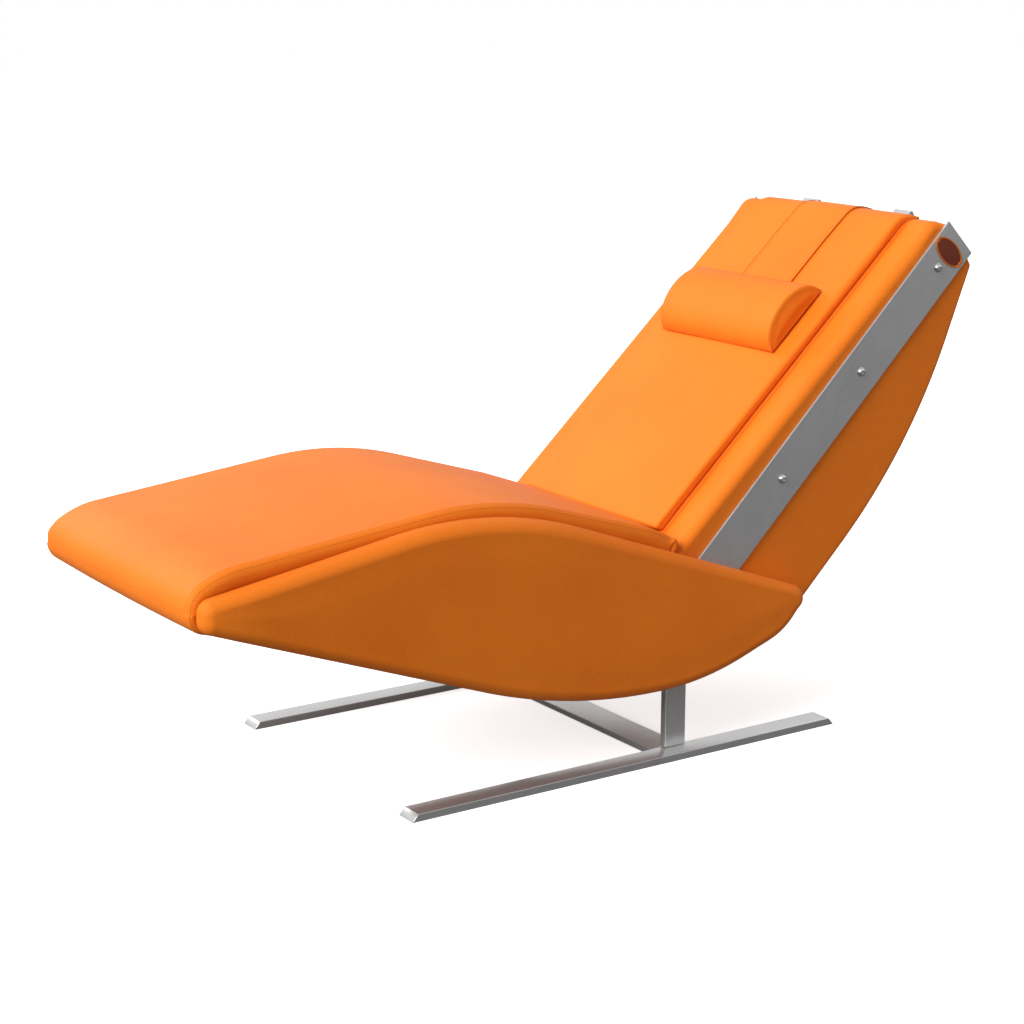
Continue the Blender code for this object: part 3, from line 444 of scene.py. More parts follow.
def rollProfile(s, arcRows=60, wallRows=31):
    # A rolled edge as (in from the side, in from the outline, length so far): a quarter of an ellipse, then a
    # wall that tucks in with the square of its share. More rows are taken beside the seams.
    t = np.radians(np.linspace(0.0, 90.0, arcRows))
    side, depth = s["roll"] * s.get("rollAcross", 1.0) * (1.0 - np.sin(t)), s["roll"] * (1.0 - np.cos(t))
    height, tuck = s.get("wall", (0.0, 0.0))
    if height:
        share = np.linspace(0.0, 1.0, wallRows)[1:]
        side, depth = np.append(side, tuck * share ** 2), np.append(depth, s["roll"] + height * share)
    length = np.append(0.0, np.cumsum(np.hypot(np.diff(side), np.diff(depth))))
    seams = [place + width * seamRows for place, _, width in s.get("seams", ())]
    at = np.concatenate([np.linspace(0.0, length[-1], s["edgeSteps"]), *seams])
    at = np.unique(np.clip(at, 0.0, length[-1]))
    return np.stack([np.interp(at, length, side), np.interp(at, length, depth), at], -1)


def rollRow(ring, s, half, profile, side):
    # The outline drawn in by the profile times the roll there; seams press it in.
    y = half - profile[0] * ring[:, 2]
    out = crownOff(ring, s, half, y) - profile[1] * ring[:, 2]
    for place, depth, width in s.get("seams", ()):
        out = out - depth * ring[:, 4] * np.exp(-((profile[2] - place) / width) ** 2)
    p = ring[:, :2] + outwardNormals(ring) * out[:, None]
    return np.stack([p[:, 0], side * y, p[:, 1]], -1)


def carriedGrid(ring, s, half):
    # Rows from one side to the other: a cap closed on the outline's mid line, the rolled edge, the middle,
    # and back. A cap puffs out by a smooth step of its distance from the rim.
    profile = rollProfile(s)[::-1]
    edge = {side: np.array([rollRow(ring, s, half, row, side) for row in profile]) for side in (1, -1)}
    inner = half - s["roll"] * s.get("rollAcross", 1.0) * ring[:, 2]
    across = np.linspace(1.0, -1.0, s["middleSteps"] + 1)[1:-1, None]
    y = across * inner[None]
    for place, width, _ in s.get("grooves", ()):
        bell = place + width * grooveRows
        y = -np.sort(-np.concatenate([y, np.outer(np.concatenate([bell, -bell]), np.ones(len(ring)))]), 0)
    swell = crownOff(ring, s, half, y)
    p = ring[:, :2] + outwardNormals(ring) * swell[..., None]
    middle = np.stack([p[..., 0], y, p[..., 1]], -1)
    share = np.array(s["capShares"])[:, None, None]
    caps = {}
    for side in (1, -1):
        rim = edge[side][0]
        spine = (rim + np.roll(rim[::-1], 1, 0)) / 2
        cap = spine + share * (rim - spine)
        gap = np.sqrt(((cap[:, :, None, ::2] - rim[None, None, :, ::2]) ** 2).sum(-1)).min(-1)
        rise = np.clip(gap / s["puffReach"], 0.0, 1.0)
        cap[..., 1] += side * s["puff"] * rise * rise * (3.0 - 2.0 * rise)
        caps[side] = cap
    return np.concatenate([caps[1], edge[1], middle, edge[-1][::-1], caps[-1][::-1]])


plainCap = {"capShares": (0.0, 0.3, 0.6, 0.85, 0.96), "puff": 0.0, "puffReach": 0.03}


def carriedPiece(name, ring, s, half, material, shape=None, shift=0.0, smoothAngle=40.0):
    grid = carriedGrid(ring, s, half)
    grid[..., 1] += shift
    if shape:
        grid = shape(grid)
    return addPiece(name, grid, quadFaces(*grid.shape[:2]), material, smoothAngle)


threadSettings = {"pitch": 0.0058, "length": 0.0044, "radius": 0.00042, "rings": 5, "sides": 6,
                  "sink": 0.0001, "reach": 0.49, "smoothAngle": 80.0}


def stitchRow(name, line, beside, body, flip=1.0):
    # One capsule repeated along a line: at share u of its length its radius is the root of 1 - (2u)^4. The
    # normal is square to the line and to the step to the line beside it.
    s = threadSettings
    length = np.append(0.0, np.cumsum(np.linalg.norm(np.diff(line, axis=0), axis=1)))
    at = np.arange(s["pitch"] / 2, length[-1], s["pitch"])
    centre, other = (np.stack([np.interp(at, length, q[:, k]) for k in range(3)], -1) for q in (line, beside))
    along = unitRows(np.gradient(centre, axis=0))
    normal = unitRows(np.cross(along, other - centre)) * flip
    across = np.cross(normal, along)
    u = np.linspace(-s["reach"], s["reach"], s["rings"])[:, None]
    turn = aroundCircle(s["sides"])[None]
    radius = s["radius"] * np.sqrt(1.0 - (2.0 * u) ** 4)
    local = np.broadcast_arrays(u * s["length"], radius * np.cos(turn), radius * np.sin(turn) + s["sink"])
    axes = np.stack([along, across, normal], 1)
    grid = np.einsum("rsk,nkc->nrsc", np.stack(local, -1), axes) + centre[:, None, None]
    one = quadFaces(s["rings"], s["sides"])
    faces = one[None] + np.arange(len(centre))[:, None, None] * s["rings"] * s["sides"]
    piece = addPiece(name, grid, faces.reshape(-1, 4), sewingThread, s["smoothAngle"])
    return settle(piece, body, "upholstery")


edgeSettings = {"slant": (0.31, 0.02, 0.95), "sides": 8, "smoothAngle": 80.0}


def edgeLine(name, line, radius, body):
    # A thin tube along a line: circles square to it, laid out from a slanted axis that no line here follows.
    # Its dark colour is painted shade.
    s = edgeSettings
    along = unitRows(np.gradient(line, axis=0))
    across = unitRows(np.cross(along, s["slant"]))
    normal = np.cross(across, along)
    turn = aroundCircle(s["sides"])[None, :, None]
    grid = line[:, None] + radius * (np.cos(turn) * across[:, None] + np.sin(turn) * normal[:, None])
    piece = addPiece(name, grid, quadFaces(*grid.shape[:2]), paintedShadeLine, s["smoothAngle"])
    return settle(piece, body, "upholstery")


# side panels: a corner is (x, z, radius, weight of the roll, of the crown, of the seam)

panelTip = -0.8995
panelSettings = {
    "corners": [(panelTip, 0.430, 0.026, 0.85, 0, 0), (-0.12935, 0.151, 1.18, 1, 0, 0),
                (0.18965, 0.151, 0.62, 1, 0, 0), (0.39965, 0.225, 0.15, 1, 0, 0),
                (0.45865, 0.305, 0.028, 0.8, 0, 0), (-0.30635, 0.580, 0.80, 1, 0, 0),
                (panelTip, 0.483, 0.026, 0.85, 0, 0)],
    "ends": ((panelTip, 0.4565), (0.447, 0.282)), "count": 190,
    "inner": 0.3155, "thickness": 0.043, "tipDrawIn": 0.010, "tipReach": 0.12, "fill": 0.9,
    "roll": 0.026, "rollAcross": 0.8, "crown": 0.0, "edgeSteps": 18, "middleSteps": 2, "innerRoll": 0.010,
    "capShares": (0.0, 0.12, 0.25, 0.4, 0.55, 0.7, 0.8, 0.88, 0.94, 0.98), "puff": 0.0022, "puffReach": 0.055,
}


def drawIn(grid, s, sign):
    # Keeps the inner half of the roll tight and widens the outer one, then thins the panel towards its tip by
    # the square of the nearness.
    half, beyond = s["thickness"] / 2, 1.0  # a metre beyond the panel nothing changes
    near = np.clip(1.0 - (grid[..., 0] - panelTip) / s["tipReach"], 0.0, 1.0)
    depth = np.interp(sign * grid[..., 1] - s["inner"], [-beyond, 0.0, half, 2 * half, beyond],
                      [-beyond, 0.0, s["innerRoll"], 2 * half, beyond])
    less = s["tipDrawIn"] / s["thickness"] * near * near
    grid[..., 1] = sign * (s["inner"] + depth * (1.0 - less))
    return grid


def makePanels(s):
    ring = pairedRing(s["corners"], *s["ends"], s["count"])
    half = s["thickness"] / 2
    for side, sign in sides:
        piece = carriedPiece("sidePanel_" + side, ring, s, half, orangeLeather,
                             lambda grid, sign=sign: drawIn(grid, s, sign), sign * (s["inner"] + half))
        settle(piece, "base", "upholstery", "side_panel_" + side)


makePanels(panelSettings)
print("side panels made")


# seat pad

padFoot = -0.9112
padSettings = {
    "corners": [(padFoot, 0.426, 0.038, 0.55, 0.4, 1), (-0.83215, 0.406, 0.015, 0.1, 0, 0),
                (-0.79715, 0.47189, 0.020, 0.06, 0, 0), (-0.28265, 0.528, 0.642, 0.06, 0, 0),
                (0.11277, 0.39751, 0.010, 0.05, 0, 0), (0.1545, 0.4406, 0.016, 0.32, 0.3, 1),
                (0.130, 0.4526, 0, 1.0, 0.45, 1), (0.085, 0.4745, 0.10, 1.1, 0.6, 1),
                (-0.28265, 0.586, 0.70, 1.0, 1.0, 1), (-0.85, 0.5247, 0.185, 1.0, 0.8, 1),
                (padFoot, 0.488, 0.05, 0.95, 0.5, 1)],
    "ends": ((-0.862, 0.417), (0.1195, 0.4035)), "count": 230, "fill": 0.85,
    "half": 0.3145, "roll": 0.018, "wall": (0.030, 0.011), "crown": 0.008, "edgeSteps": 30, "middleSteps": 26,
    "seams": ((0.004, 0.0012, 0.0016),), "stitchAt": 0.0155, "stitchStep": 0.0002,
    "capShares": (0.0, 0.3, 0.6, 0.8, 0.88, 0.93, 0.97), "puff": 0.0035, "puffReach": 0.006,
}


def makeSeatPad(s):
    # The stitches follow the row of the roll at their length down the edge, on the sewn part of the outline.
    ring = pairedRing(s["corners"], *s["ends"], s["count"])
    piece = carriedPiece("seatPad", ring, s, s["half"], orangeLeather)
    settle(piece, "base", "upholstery", "seat_pad")
    profile = rollProfile({**s, "seams": ((s["stitchAt"], 0.0, s["stitchStep"]),)})
    row = np.argmin(abs(profile[:, 2] - s["stitchAt"]))
    sewn = ring[:, 4] > 0.5
    first = np.argmax(sewn & ~np.roll(sewn, 1))
    for side, sign in sides:
        line, beside = (np.roll(rollRow(ring, s, s["half"], profile[k], sign), -first, 0)[:sewn.sum()]
                        for k in (row, row + 1))
        stitchRow("padStitches_" + side, line, beside, "base", -sign)


makeSeatPad(padSettings)
print("seat pad made")


# back: front panel, cushion and rear wedge

frontSettings = {
    "corners": [(0.9952, 0.0453, 0, 0, 0, 0), (0.9825, 0.0772, 0.038, 0.7, 1, 0), (0.90, 0.07785, 0, 1, 1, 0),
                (0.02, 0.10293, 0.020, 0.7, 1, 0), (0.02, 0.0453, 0, 0, 0, 0)],
    "ends": ((0.02, 0.0453), (0.9952, 0.0453)), "count": 110, "fill": 0.9,
    "half": 0.3067, "roll": 0.025, "crown": 0.0, "edgeSteps": 16, "middleSteps": 8,
    "grooves": ((0.2335, 0.0035, 0.009),), **plainCap,
}
cushionSettings = {
    "corners": [(0.1176, 0.10045, 0, 0.2, 0, 0), (0.16, 0.09924, 0, 0.54, 0, 0),
                (0.90, 0.07815, 0, 0.54, 0, 0), (0.97518, 0.07601, 0.0583, 0.3, 0, 0),
                (0.99204, 0.04703, 0, 0, 0, 0),
                (1.00068, 0.05206, 0.002, 0.3, 0.3, 0), (0.97518, 0.09571, 0.080, 0.65, 0.3, 0),
                (0.8647, 0.09886, 0, 1, 1, 0), (0.1073, 0.12044, 0.006, 0.4, 1, 0)],
    "ends": ((0.11, 0.11), (0.99204, 0.04703)), "count": 160, "fill": 0.8,
    "half": 0.229, "roll": 0.012, "crown": 0.004, "edgeSteps": 14, "middleSteps": 20, **plainCap,
}
wedgeSettings = {
    "corners": [(0.06, -0.0453, 0.010, 0.3, 0, 0), (0.2054, -0.239, 0.040, 1, 0, 0),
                (0.6263, -0.239, 1.2, 1, 0, 0), (0.9905, -0.0733, 0.012, 0.7, 0, 0),
                (0.9905, -0.0453, 0, 0, 0, 0)],
    "ends": ((0.06, -0.0453), (0.9905, -0.0453)), "count": 120, "fill": 0.9,
    "half": 0.3067, "roll": 0.014, "crown": 0.0, "edgeSteps": 12, "middleSteps": 8,
    "capShares": (0.0, 0.15, 0.3, 0.45, 0.6, 0.75, 0.85, 0.93, 0.98), "puff": 0.0, "puffReach": 0.05,
}


def makeBackPiece(name, s, node):
    ring = pairedRing(s["corners"], *s["ends"], s["count"])
    piece = carriedPiece(name, ring, s, s["half"], orangeLeather, backToWorld)
    settle(piece, "backrest", "upholstery", node)


makeBackPiece("frontPanel", frontSettings, "front_panel")
makeBackPiece("backCushion", cushionSettings, "back_cushion")
makeBackPiece("rearWedge", wedgeSettings, "rear_wedge")
print("back made")


# head pillow

pillowSettings = {
    "middle": (0.6526, 0.1120), "tilt": 0.028492, "length": 0.172, "height": 0.057, "half": 0.184,
    "roll": 0.008, "crown": 0.0, "edgeSteps": 12, "middleSteps": 16, "steps": 60, "smoothAngle": 50.0,
    "fill": 0.75,
    # The seam presses a groove; a thin dark tube at its middle is a painted shade line, and the stitches run
    # beside it.
    "seams": ((0.0085, 0.0022, 0.0011),), "stitchAt": 0.0052, "sewnFrom": 4, "seamShadeAt": 0.0085, "seamShade": 0.0006,
    "capShares": (0.0, 0.2, 0.4, 0.6, 0.75, 0.87, 0.95), "puff": 0.004, "puffReach": 0.03,
}


def onTrack(grid):
    # The pillow's own plane turned onto the back's face.
    s = pillowSettings
    c, n = math.cos(s["tilt"]), math.sin(s["tilt"])
    along, across, rise = np.moveaxis(grid, -1, 0)
    return backToWorld(np.stack([s["middle"][0] + along * c + rise * n, across,
                                 s["middle"][1] - along * n + rise * c], -1))


def pillowRing(s):
    # Half an ellipse over a flat base, both with as many points; the roll fades out towards the base.
    angle = np.linspace(0.0, math.pi, s["steps"] + 1)
    rise = s["height"] * np.sin(angle)
    upper = np.stack([s["length"] / 2 * np.cos(angle), rise], -1)
    base = np.stack([s["length"] / 2 * np.cos(angle[1:-1]), np.zeros(s["steps"] - 1)], -1)[::-1]
    outline = np.vstack([upper, base])
    weight = np.clip(outline[:, 1] / (2 * s["roll"]), 0.0, 1.0)
    return np.column_stack([outline, weight, np.zeros(len(outline)), weight])


def makePillow(s):
    # The stitches and a painted shade line in the seam's groove follow rows of the roll over the round part
    # of the outline.
    ring = pillowRing(s)
    piece = carriedPiece("headPillow", ring, s, s["half"], orangeLeather, onTrack,
                         smoothAngle=s["smoothAngle"])
    settle(piece, "pillow", "upholstery", "head_pillow")
    profile = rollProfile(s)
    stitchAt, seamShadeAt = (np.argmin(abs(profile[:, 2] - s[k])) for k in ("stitchAt", "seamShadeAt"))
    overTop = s["steps"] + 1
    sewn = slice(s["sewnFrom"], overTop - s["sewnFrom"])
    for side, sign in sides:
        line, beside, seamShade = (onTrack(rollRow(ring, s, s["half"], profile[k], sign)[:overTop])
                              for k in (stitchAt, stitchAt + 1, seamShadeAt))
        stitchRow("pillowStitches_" + side, line[sewn], beside[sewn], "pillow", -sign)
        # A thin dark tube at the bottom of the seam's groove: painted shade.
        edgeLine("pillowSeamShade_" + side, seamShade, s["seamShade"], "pillow")


makePillow(pillowSettings)
print("pillow made")


# strap: a corner is (along, off, radius, weight of the crown)

strapSettings = {
    "corners": [(0.578, 0.10733, 0, 1), (0.8647, 0.09916, 0, 1), (0.97533, 0.09597, 0.0803, 0.3),
                (1.0012, 0.0522, 0.003, 0.3), (0.9999, 0.039, 0.005, 0.3), (0.9908, 0.039, 0.005, 0),
                (0.9908, 0.003, 0, 0)],
    "half": 0.080, "thickness": 0.0027, "edge": 0.0011, "crown": 0.004, "crownHalf": 0.229, "count": 150,
    "stitchIn": 0.008, "stitchStep": 0.001, "stitchEnd": 105,
    "rimIn": 0.0005, "rimSink": 0.0001, "rim": 0.0007, "rimEnd": 125,
}


def strapSection(s, edgeRows=9, flatRows=15):
    # A flat rounded-edged loop of (across, lift).
    half, t, r = s["half"], s["thickness"], s["edge"]
    angle = np.radians(np.linspace(-90, 90, edgeRows))
    right = np.stack([half - r + r * np.cos(angle), t / 2 + (t / 2) * np.sin(angle)], -1)
    across = np.linspace(half - r, -(half - r), flatRows)[1:-1]
    top = np.stack([across, np.full(len(across), t)], -1)
    return np.vstack([right, top, right[::-1] * (-1, 1), (top * (1, 0))[::-1]])


def strapLine(s, across, lift):
    # The run offset along its normal by the crown at that place across, and by the lift.
    outline = roundedOutline(s["corners"], closed=False, stepDegrees=4.0)
    run = spread(outline, s["count"], bend=0.02, keepEnd=True)
    along = np.gradient(run[:, :2], axis=0)
    normal = unitRows(np.stack([-along[:, 1], along[:, 0]], -1))
    rise = s["crown"] * run[:, 2, None] * (1.0 - (across / s["crownHalf"]) ** 2) + lift
    p = run[:, None, :2] + normal[:, None] * rise[..., None]
    return backToWorld(np.stack([p[..., 0], np.broadcast_to(across, rise.shape), p[..., 1]], -1)), run


def makeStrap(s):
    section = strapSection(s)
    grid, run = strapLine(s, section[:, 0], section[:, 1])
    piece = addPiece("headStrap", grid, liddedFaces(grid), orangeLeather)
    settle(piece, "backrest", "upholstery", "strap")
    for side, sign in sides:
        edge = sign * (s["half"] - s["stitchIn"])
        rows = strapLine(s, np.array([edge, edge + s["stitchStep"]]), np.full(2, s["thickness"]))[0]
        stitchRow("strapStitches_" + side, rows[:s["stitchEnd"], 0], rows[:s["stitchEnd"], 1], "backrest")
        # A thin dark tube along each edge of the strap: a painted shadow line at the strap's edge.
        edge = sign * (s["half"] - s["rimIn"])
        rows = strapLine(s, np.array([edge]), np.array([s["thickness"] - s["rimSink"]]))[0]
        edgeLine("strapEdgeShade_" + side, rows[:s["rimEnd"], 0], s["rim"], "backrest")


makeStrap(strapSettings)
print("strap made")


# steel work with broken edges: a corner is (along, up, radius)

steelSolid = {**plainCap, "roll": 0.0009, "crown": 0.0, "edgeSteps": 4, "middleSteps": 2,
              "capShares": (0.0, 0.5, 0.985)}
roundEnd = 0.999  # radius of a bar's round end as a share of its half width, so that the two arcs stay apart


def steelPiece(name, corners, ends, y0, y1, material, body, node, shape=None, count=60):
    rounded = [(p, q, max(radius, steelSolid["roll"]), 1, 0, 0) for p, q, radius in corners]
    ring = pairedRing(rounded, *ends, count, bend=0.02)
    piece = carriedPiece(name, ring, steelSolid, abs(y1 - y0) / 2, material, shape, (y0 + y1) / 2)
    return settle(piece, body, "steel", node)


baseSettings = {"railFront": -0.48565, "railRear": 0.53935, "railHeight": 0.015, "railBevel": 0.013,
                "railInner": 0.290, "railOuter": 0.340, "uprightInner": 0.2835, "uprightOuter": 0.2995,
                "uprightHalf": 0.025, "uprightGap": 0.0003, "plateFront": 0.09885, "plateRear": 0.17485,
                "plateLow": 0.003, "plateHalf": 0.2897}


def makeBase(s):
    # Flat bars: the rails end in bevels, and the uprights end in a round about the pivot.
    x0, x1, h = s["railFront"], s["railRear"], s["railHeight"]
    rail = [(x0, 0, 0), (x1, 0, 0), (x1 - s["railBevel"], h, 0), (x0 + s["railBevel"], h, 0)]
    middle, u = backFrame["pivotX"], s["uprightHalf"]
    foot, head = h + s["uprightGap"], backFrame["pivotZ"] + u
    upright = [(middle - u, foot, 0), (middle + u, foot, 0), (middle + u, head, u * roundEnd),
               (middle - u, head, u * roundEnd)]
    for side, sign in sides:
        steelPiece("rail_" + side + "Bar", rail, ((x0, 0), (x1, 0)), sign * s["railInner"],
                   sign * s["railOuter"], satinSteel, "base", "rail_" + side)
        steelPiece("upright_" + side + "Bar", upright, ((middle - u, h), (middle + u, h)),
                   sign * s["uprightInner"], sign * s["uprightOuter"], uprightSteel, "base",
                   "upright_" + side)
    plate = [(s["plateFront"], s["plateLow"], 0), (s["plateRear"], s["plateLow"], 0), (s["plateRear"], h, 0),
             (s["plateFront"], h, 0)]
    steelPiece("crossPlate", plate, (plate[0][:2], plate[1][:2]), -s["plateHalf"], s["plateHalf"], satinSteel,
               "base", "cross_plate")


barSettings = {"reach": 1.0021, "half": 0.0495, "inner": 0.307, "outer": 0.312, "steps": 80,
               "plateTop": 0.9905, "plateLow": 0.9855, "plateHalf": 0.044, "plateAcross": 0.3067}


def makeBars(s):
    # Flat bars with a round end about the pivot, and the plate across their heads.
    h, reach = s["half"], s["reach"]
    bar = [(-h, -h, h * roundEnd), (reach, -h, 0), (reach, h, 0), (-h, h, h * roundEnd)]
    for side, sign in sides:
        steelPiece("backBar_" + side, bar, ((-h, 0), (reach, 0)), sign * s["inner"], sign * s["outer"],
                   barSteel, "backrest", "back_bar_" + side, backToWorld, s["steps"])
    t = s["plateHalf"]
    plate = [(s["plateLow"], -t, 0), (s["plateTop"], -t, 0), (s["plateTop"], t, 0), (s["plateLow"], t, 0)]
    steelPiece("topPlate", plate, ((s["plateLow"], 0), (s["plateTop"], 0)), -s["plateAcross"],
               s["plateAcross"], barSteel, "backrest", "top_plate", backToWorld)


screwSettings = {
    "at": (0.3507, 0.6337, 0.9167), "face": 0.3123, "steps": 48, "hexScale": 1.07, "smoothAngle": 35.0,
    "profile": [(0.0097, 0.0, 0), (0.0097, 0.0009, 0), (0.0094, 0.0012, 0), (0.0085, 0.0013, 0),
                (0.0084, 0.0020, 0), (0.0080, 0.0032, 0), (0.0071, 0.0043, 0), (0.0058, 0.0051, 0),
                (0.0045, 0.0054, 0.3), (0.0034, 0.0055, 1), (0.0031, 0.0053, 1), (0.0031, 0.0026, 1),
                (0.0004, 0.0022, 0)],
}


def makeScrews(s):
    # Rings of radius and height spun round; a row's last number draws its ring towards a hexagon.
    turn = aroundCircle(s["steps"])
    flat = np.mod(turn, math.pi / 3) - math.pi / 6
    hexagon = math.cos(math.pi / 6) / np.cos(flat)
    radius, height, share = np.array(s["profile"]).T[:, :, None]
    reach = radius * (1.0 - share + share * hexagon * s["hexScale"])
    for side, sign in sides:
        for number, along in enumerate(s["at"], 1):
            grid = np.stack(np.broadcast_arrays(along + reach * np.cos(turn), sign * (s["face"] + height),
                                                reach * np.sin(turn)), -1)
            faces = liddedFaces(grid, firstLid=False)
            piece = addPiece("barScrew_%s_%d" % (side, number), backToWorld(grid), faces, brightSteel,
                             s["smoothAngle"])
            settle(piece, "backrest", "bright_steel", "bar_screw_%s_%d" % (side, number))


ovalSettings = {"along": 0.9585, "off": 0.0015, "long": 0.0455, "short": 0.0235, "turn": 6.0, "face": 0.3123,
                "steps": 96, "smoothAngle": 30.0,
                "rim": [(1.0, 0.0), (1.0, 0.0010), (0.985, 0.0014), (0.88, 0.0014), (0.865, 0.0011),
                        (0.865, 0.0006)],
                "field": [(0.865, 0.0006), (0.6, 0.0007), (0.3, 0.0008), (0.0, 0.0008)],
                "pinAt": 0.0395, "pin": 0.0024, "pinBase": 0.0007, "pinRise": 0.6, "pinRows": 6, "pinSkip": 4,
                "pinTop": 88.0, "pinSmooth": 60.0}


def makeOval(s):
    # A bare oval plate: shares of an ellipse with their heights, the long axis across the bar. A pin is a
    # flat dome.
    turn = aroundCircle(s["steps"])
    tilt = math.radians(s["turn"])

    def onBar(x, z, lift):
        along = s["along"] + x * math.cos(tilt) - z * math.sin(tilt)
        off = s["off"] + x * math.sin(tilt) + z * math.cos(tilt)
        return backToWorld(np.stack(np.broadcast_arrays(along, -(s["face"] + lift), off), -1))

    for name, rows, material in (("ovalRim", s["rim"], copperRim), ("ovalField", s["field"], brownEnamel)):
        share, lift = np.array(rows).T[:, :, None]
        grid = onBar(share * s["short"] * np.cos(turn), share * s["long"] * np.sin(turn), lift)
        piece = addPiece(name, grid, quadFaces(*grid.shape[:2]), material, s["smoothAngle"])
        settle(piece, "backrest", "steel")
    rise = np.radians(np.linspace(0.0, s["pinTop"], s["pinRows"]))[:, None]
    pinTurn = turn[::s["pinSkip"]]
    reach, lift = s["pin"] * np.cos(rise), s["pinBase"] + s["pinRise"] * s["pin"] * np.sin(rise)
    for name, end in (("ovalPin_1", 1), ("ovalPin_2", -1)):
        grid = onBar(reach * np.cos(pinTurn), end * s["pinAt"] + reach * np.sin(pinTurn), lift)
        piece = addPiece(name, grid, quadFaces(*grid.shape[:2]), copperRim, s["pinSmooth"])
        settle(piece, "backrest", "steel")


clipSettings = {"land": 0.9908, "half": 0.025, "across": 0.147, "thickness": 0.0025, "edge": 0.0009,
                "crown": 0.0, "crownHalf": 1.0, "count": 70,
                "path": [(0.0008, 0.039, 0), (0.0365, 0.0352, 0.0035), (0.029, 0.005, 0.0035),
                         (0.0, -0.0086, 0.0035), (0.0, -0.0226, 0)]}


def makeClips(s):
    # The bent strip's own section carried along its path, centred on it.
    corners = [(s["land"] + p, q, radius, 0) for p, q, radius in s["path"]]
    section = strapSection(s)
    for side, sign in sides:
        grid, _ = strapLine({**s, "corners": corners}, section[:, 0], section[:, 1] - s["thickness"] / 2)
        grid[..., 1] += sign * s["across"]
        piece = addPiece("topClip_" + side, grid, liddedFaces(grid), barSteel)
        settle(piece, "backrest", "steel", "top_clip_" + side)


makeBase(baseSettings)
makeBars(barSettings)
makeScrews(screwSettings)
makeOval(ovalSettings)
makeClips(clipSettings)
print("steel work made")


# belly cover

bellySettings = {"front": -0.82515, "rear": 0.27065, "half": 0.3152, "inset": 0.008, "thickness": 0.006,
                 "slotFrom": 0.2815, "slotHalf": 0.027, "sag": 0.003, "edge": 0.002, "below": 0.44,
                 "frontSteps": 70, "rearSteps": 10, "acrossSteps": 25, "fill": 0.95}


def makeBelly(s):
    # The panels' underside moved in, with a small sag between them; the uprights' slots are left out.
    outline = roundedOutline(panelSettings["corners"], stepDegrees=2.0)
    low = outline[outline[:, 1] < s["below"]]
    low = low[np.argsort(low[:, 0])]
    slot = (backFrame["pivotX"] - s["slotHalf"], backFrame["pivotX"] + s["slotHalf"])
    x = np.unique(np.concatenate([np.linspace(s["front"], slot[0], s["frontSteps"]), slot,
                                  np.linspace(slot[1], s["rear"], s["rearSteps"])]))
    y = np.unique(np.append(np.linspace(-s["slotFrom"], s["slotFrom"], s["acrossSteps"]),
                            (-s["half"], s["half"])))
    z = np.interp(x, low[:, 0], low[:, 1])
    slope = np.gradient(z, x)
    z = z + s["inset"] * np.sqrt(1.0 + slope * slope)
    sag = s["sag"] * (1.0 - (y / s["half"]) ** 2)
    grid = np.stack(np.broadcast_arrays(x[:, None], y[None], z[:, None] - sag[None]), -1)
    faces = quadFaces(len(x), len(y), wrapColumns=False)
    middle = grid.reshape(-1, 3)[faces].mean(1)
    inSlot = (middle[:, 0] > slot[0]) & (middle[:, 0] < slot[1]) & (abs(middle[:, 1]) > s["slotFrom"])
    piece = addPiece("bellyCover", grid, faces[~inSlot], orangeLeather)
    solid = piece.modifiers.new("thickness", "SOLIDIFY")
    solid.thickness, solid.offset = s["thickness"], 0.0
    bevel = piece.modifiers.new("edge", "BEVEL")
    bevel.width, bevel.segments, bevel.limit_method = s["edge"], 2, "ANGLE"
    settle(piece, "base", "upholstery", "belly_cover")


makeBelly(bellySettings)
print("belly cover made")


# finishes of the frame pieces that stay

finishes = {satinSteel: ["fitting_fixed_near", "fitting_fixed_far", "fitting_moving_near",
                         "fitting_moving_far", "hip_spreader", "mount_block_near", "mount_block_far",
                         "strap_clamp"],
            brightSteel: [n for n in nodes if "bolt" in n],
            birchPlywood: ["seat_deck", "front_former", "knee_former", "seat_former", "rear_stretcher",
                           "back_rail_near", "back_rail_far"]}
for material, names in finishes.items():
    for name in names:
        nodes[name].data.materials.clear()
        nodes[name].data.materials.append(material)
print("frame pieces finished")


# floor, light and background

stageSettings = {"floorSize": 60.0, "floorWhite": 0.9, "floorBounce": 0.19, "floorGlow": 0.66,
                 "floorRough": 0.9, "ambient": 0.4}
lamps = {"key": {"from": (-4.6, -0.9, 2.9), "aim": (0.0, 0.0, 0.0), "spread": 36.0, "sun": 3.4},
         "rim": {"from": (-1.4, 4.6, 3.1), "aim": (0.2, 0.0, 0.6), "size": 3.0, "watts": 90.0},
         "fill": {"from": (4.6, 1.5, 2.6), "aim": (0.1, 0.0, 0.4), "size": 3.0, "watts": 16.0},
         "front": {"from": (-0.6, -5.2, 1.4), "aim": (0.0, 0.0, 0.4), "size": 3.0, "watts": 8.0}}


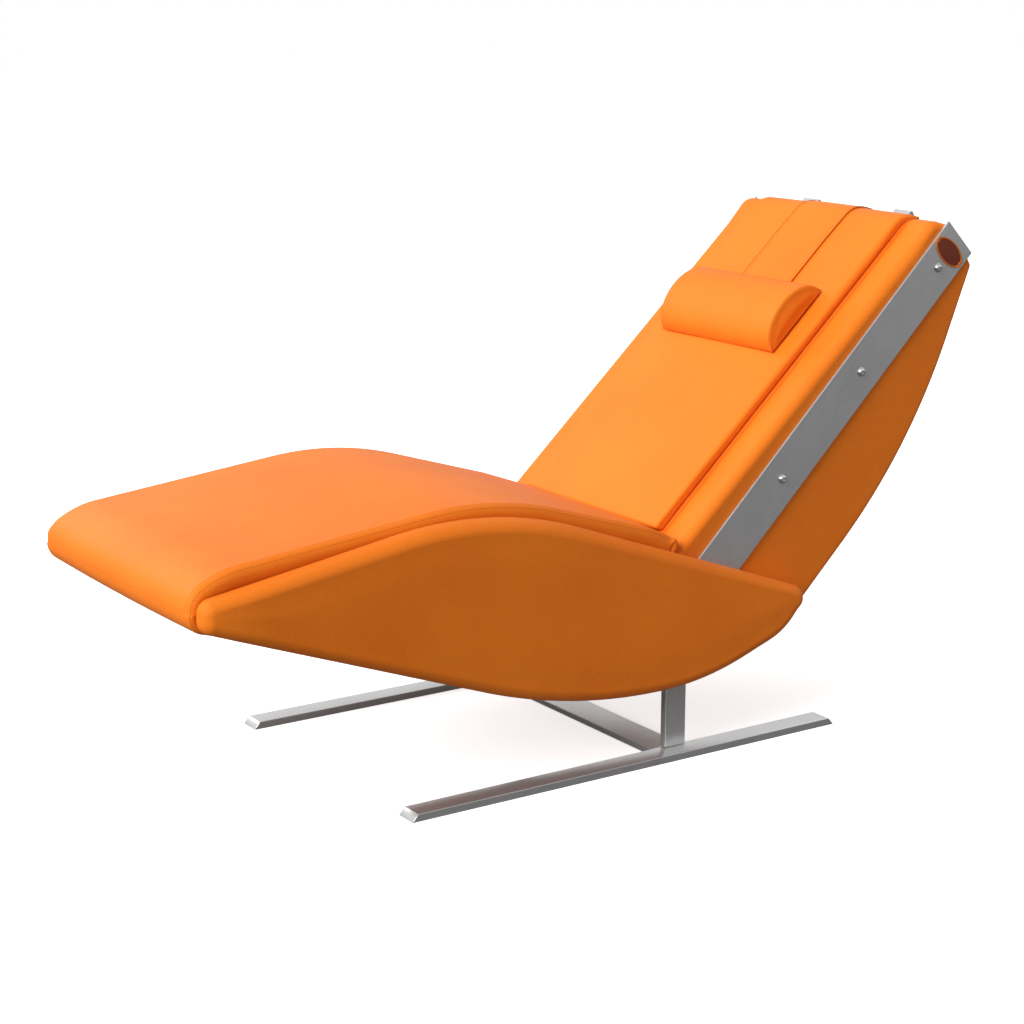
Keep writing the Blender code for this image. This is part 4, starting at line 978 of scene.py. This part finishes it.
def seenDirectly(tree):
    path = addNode(tree, "ShaderNodeLightPath").outputs
    seen = mathNode(tree, "MAXIMUM", path["Is Camera Ray"], path["Is Glossy Ray"])
    return mathNode(tree, "MAXIMUM", seen, path["Is Transmission Ray"])


def makeFloor(s):
    # White and aglow to the camera, a plain grey to the light that bounces off it.
    points = np.array([[-1, -1, 0], [1, -1, 0], [1, 1, 0], [-1, 1, 0]], float) * s["floorSize"] / 2
    material, tree, shader = newMaterial("paleFloor", {"Roughness": s["floorRough"],
                                                       "Specular IOR Level": 0.0,
                                                       "Emission Color": (1.0, 1.0, 1.0, 1.0)})
    onCamera = addNode(tree, "ShaderNodeLightPath").outputs["Is Camera Ray"]
    colour = blendColours(tree, onCamera, (s["floorBounce"],) * 3, (s["floorWhite"],) * 3)
    tree.links.new(colour, shader.inputs["Base Color"])
    tree.links.new(mathNode(tree, "MULTIPLY", onCamera, s["floorGlow"]), shader.inputs["Emission Strength"])
    floor = addPiece("floor", points, [[0, 1, 2, 3]], material)


def makeWorld(s):
    # White where it is seen, dimmer where it only lights.
    world = bpy.data.worlds.new("studio")
    world.use_nodes = True
    tree = world.node_tree
    tree.nodes.clear()
    back = addNode(tree, "ShaderNodeBackground", {"Color": (1.0, 1.0, 1.0, 1.0)})
    tree.links.new(mapRange(tree, seenDirectly(tree), 0.0, 1.0, s["ambient"], 1.0), back.inputs["Strength"])
    out = addNode(tree, "ShaderNodeOutputWorld")
    tree.links.new(back.outputs[0], out.inputs["Surface"])
    bpy.context.scene.world = world
    bpy.context.scene.view_settings.view_transform = "Standard"


def makeLamp(name, s):
    if "sun" in s:
        data = bpy.data.lights.new(name, "SUN")
        data.energy = s["sun"]
        data.angle = math.radians(s["spread"])
    else:
        data = bpy.data.lights.new(name, "AREA")
        data.energy = s["watts"]
        data.shape = "DISK"
        data.size = s["size"]
    back = unitRows(np.subtract(s["from"], s["aim"]))
    right = unitRows(np.cross((0.0, 0.0, 1.0), back))
    placeObject(bpy.data.objects.new(name, data), right, np.cross(back, right), back, s["from"])


makeFloor(stageSettings)
makeWorld(stageSettings)
for lampName, lampSettings in lamps.items():
    makeLamp(lampName, lampSettings)
print("stage lit")
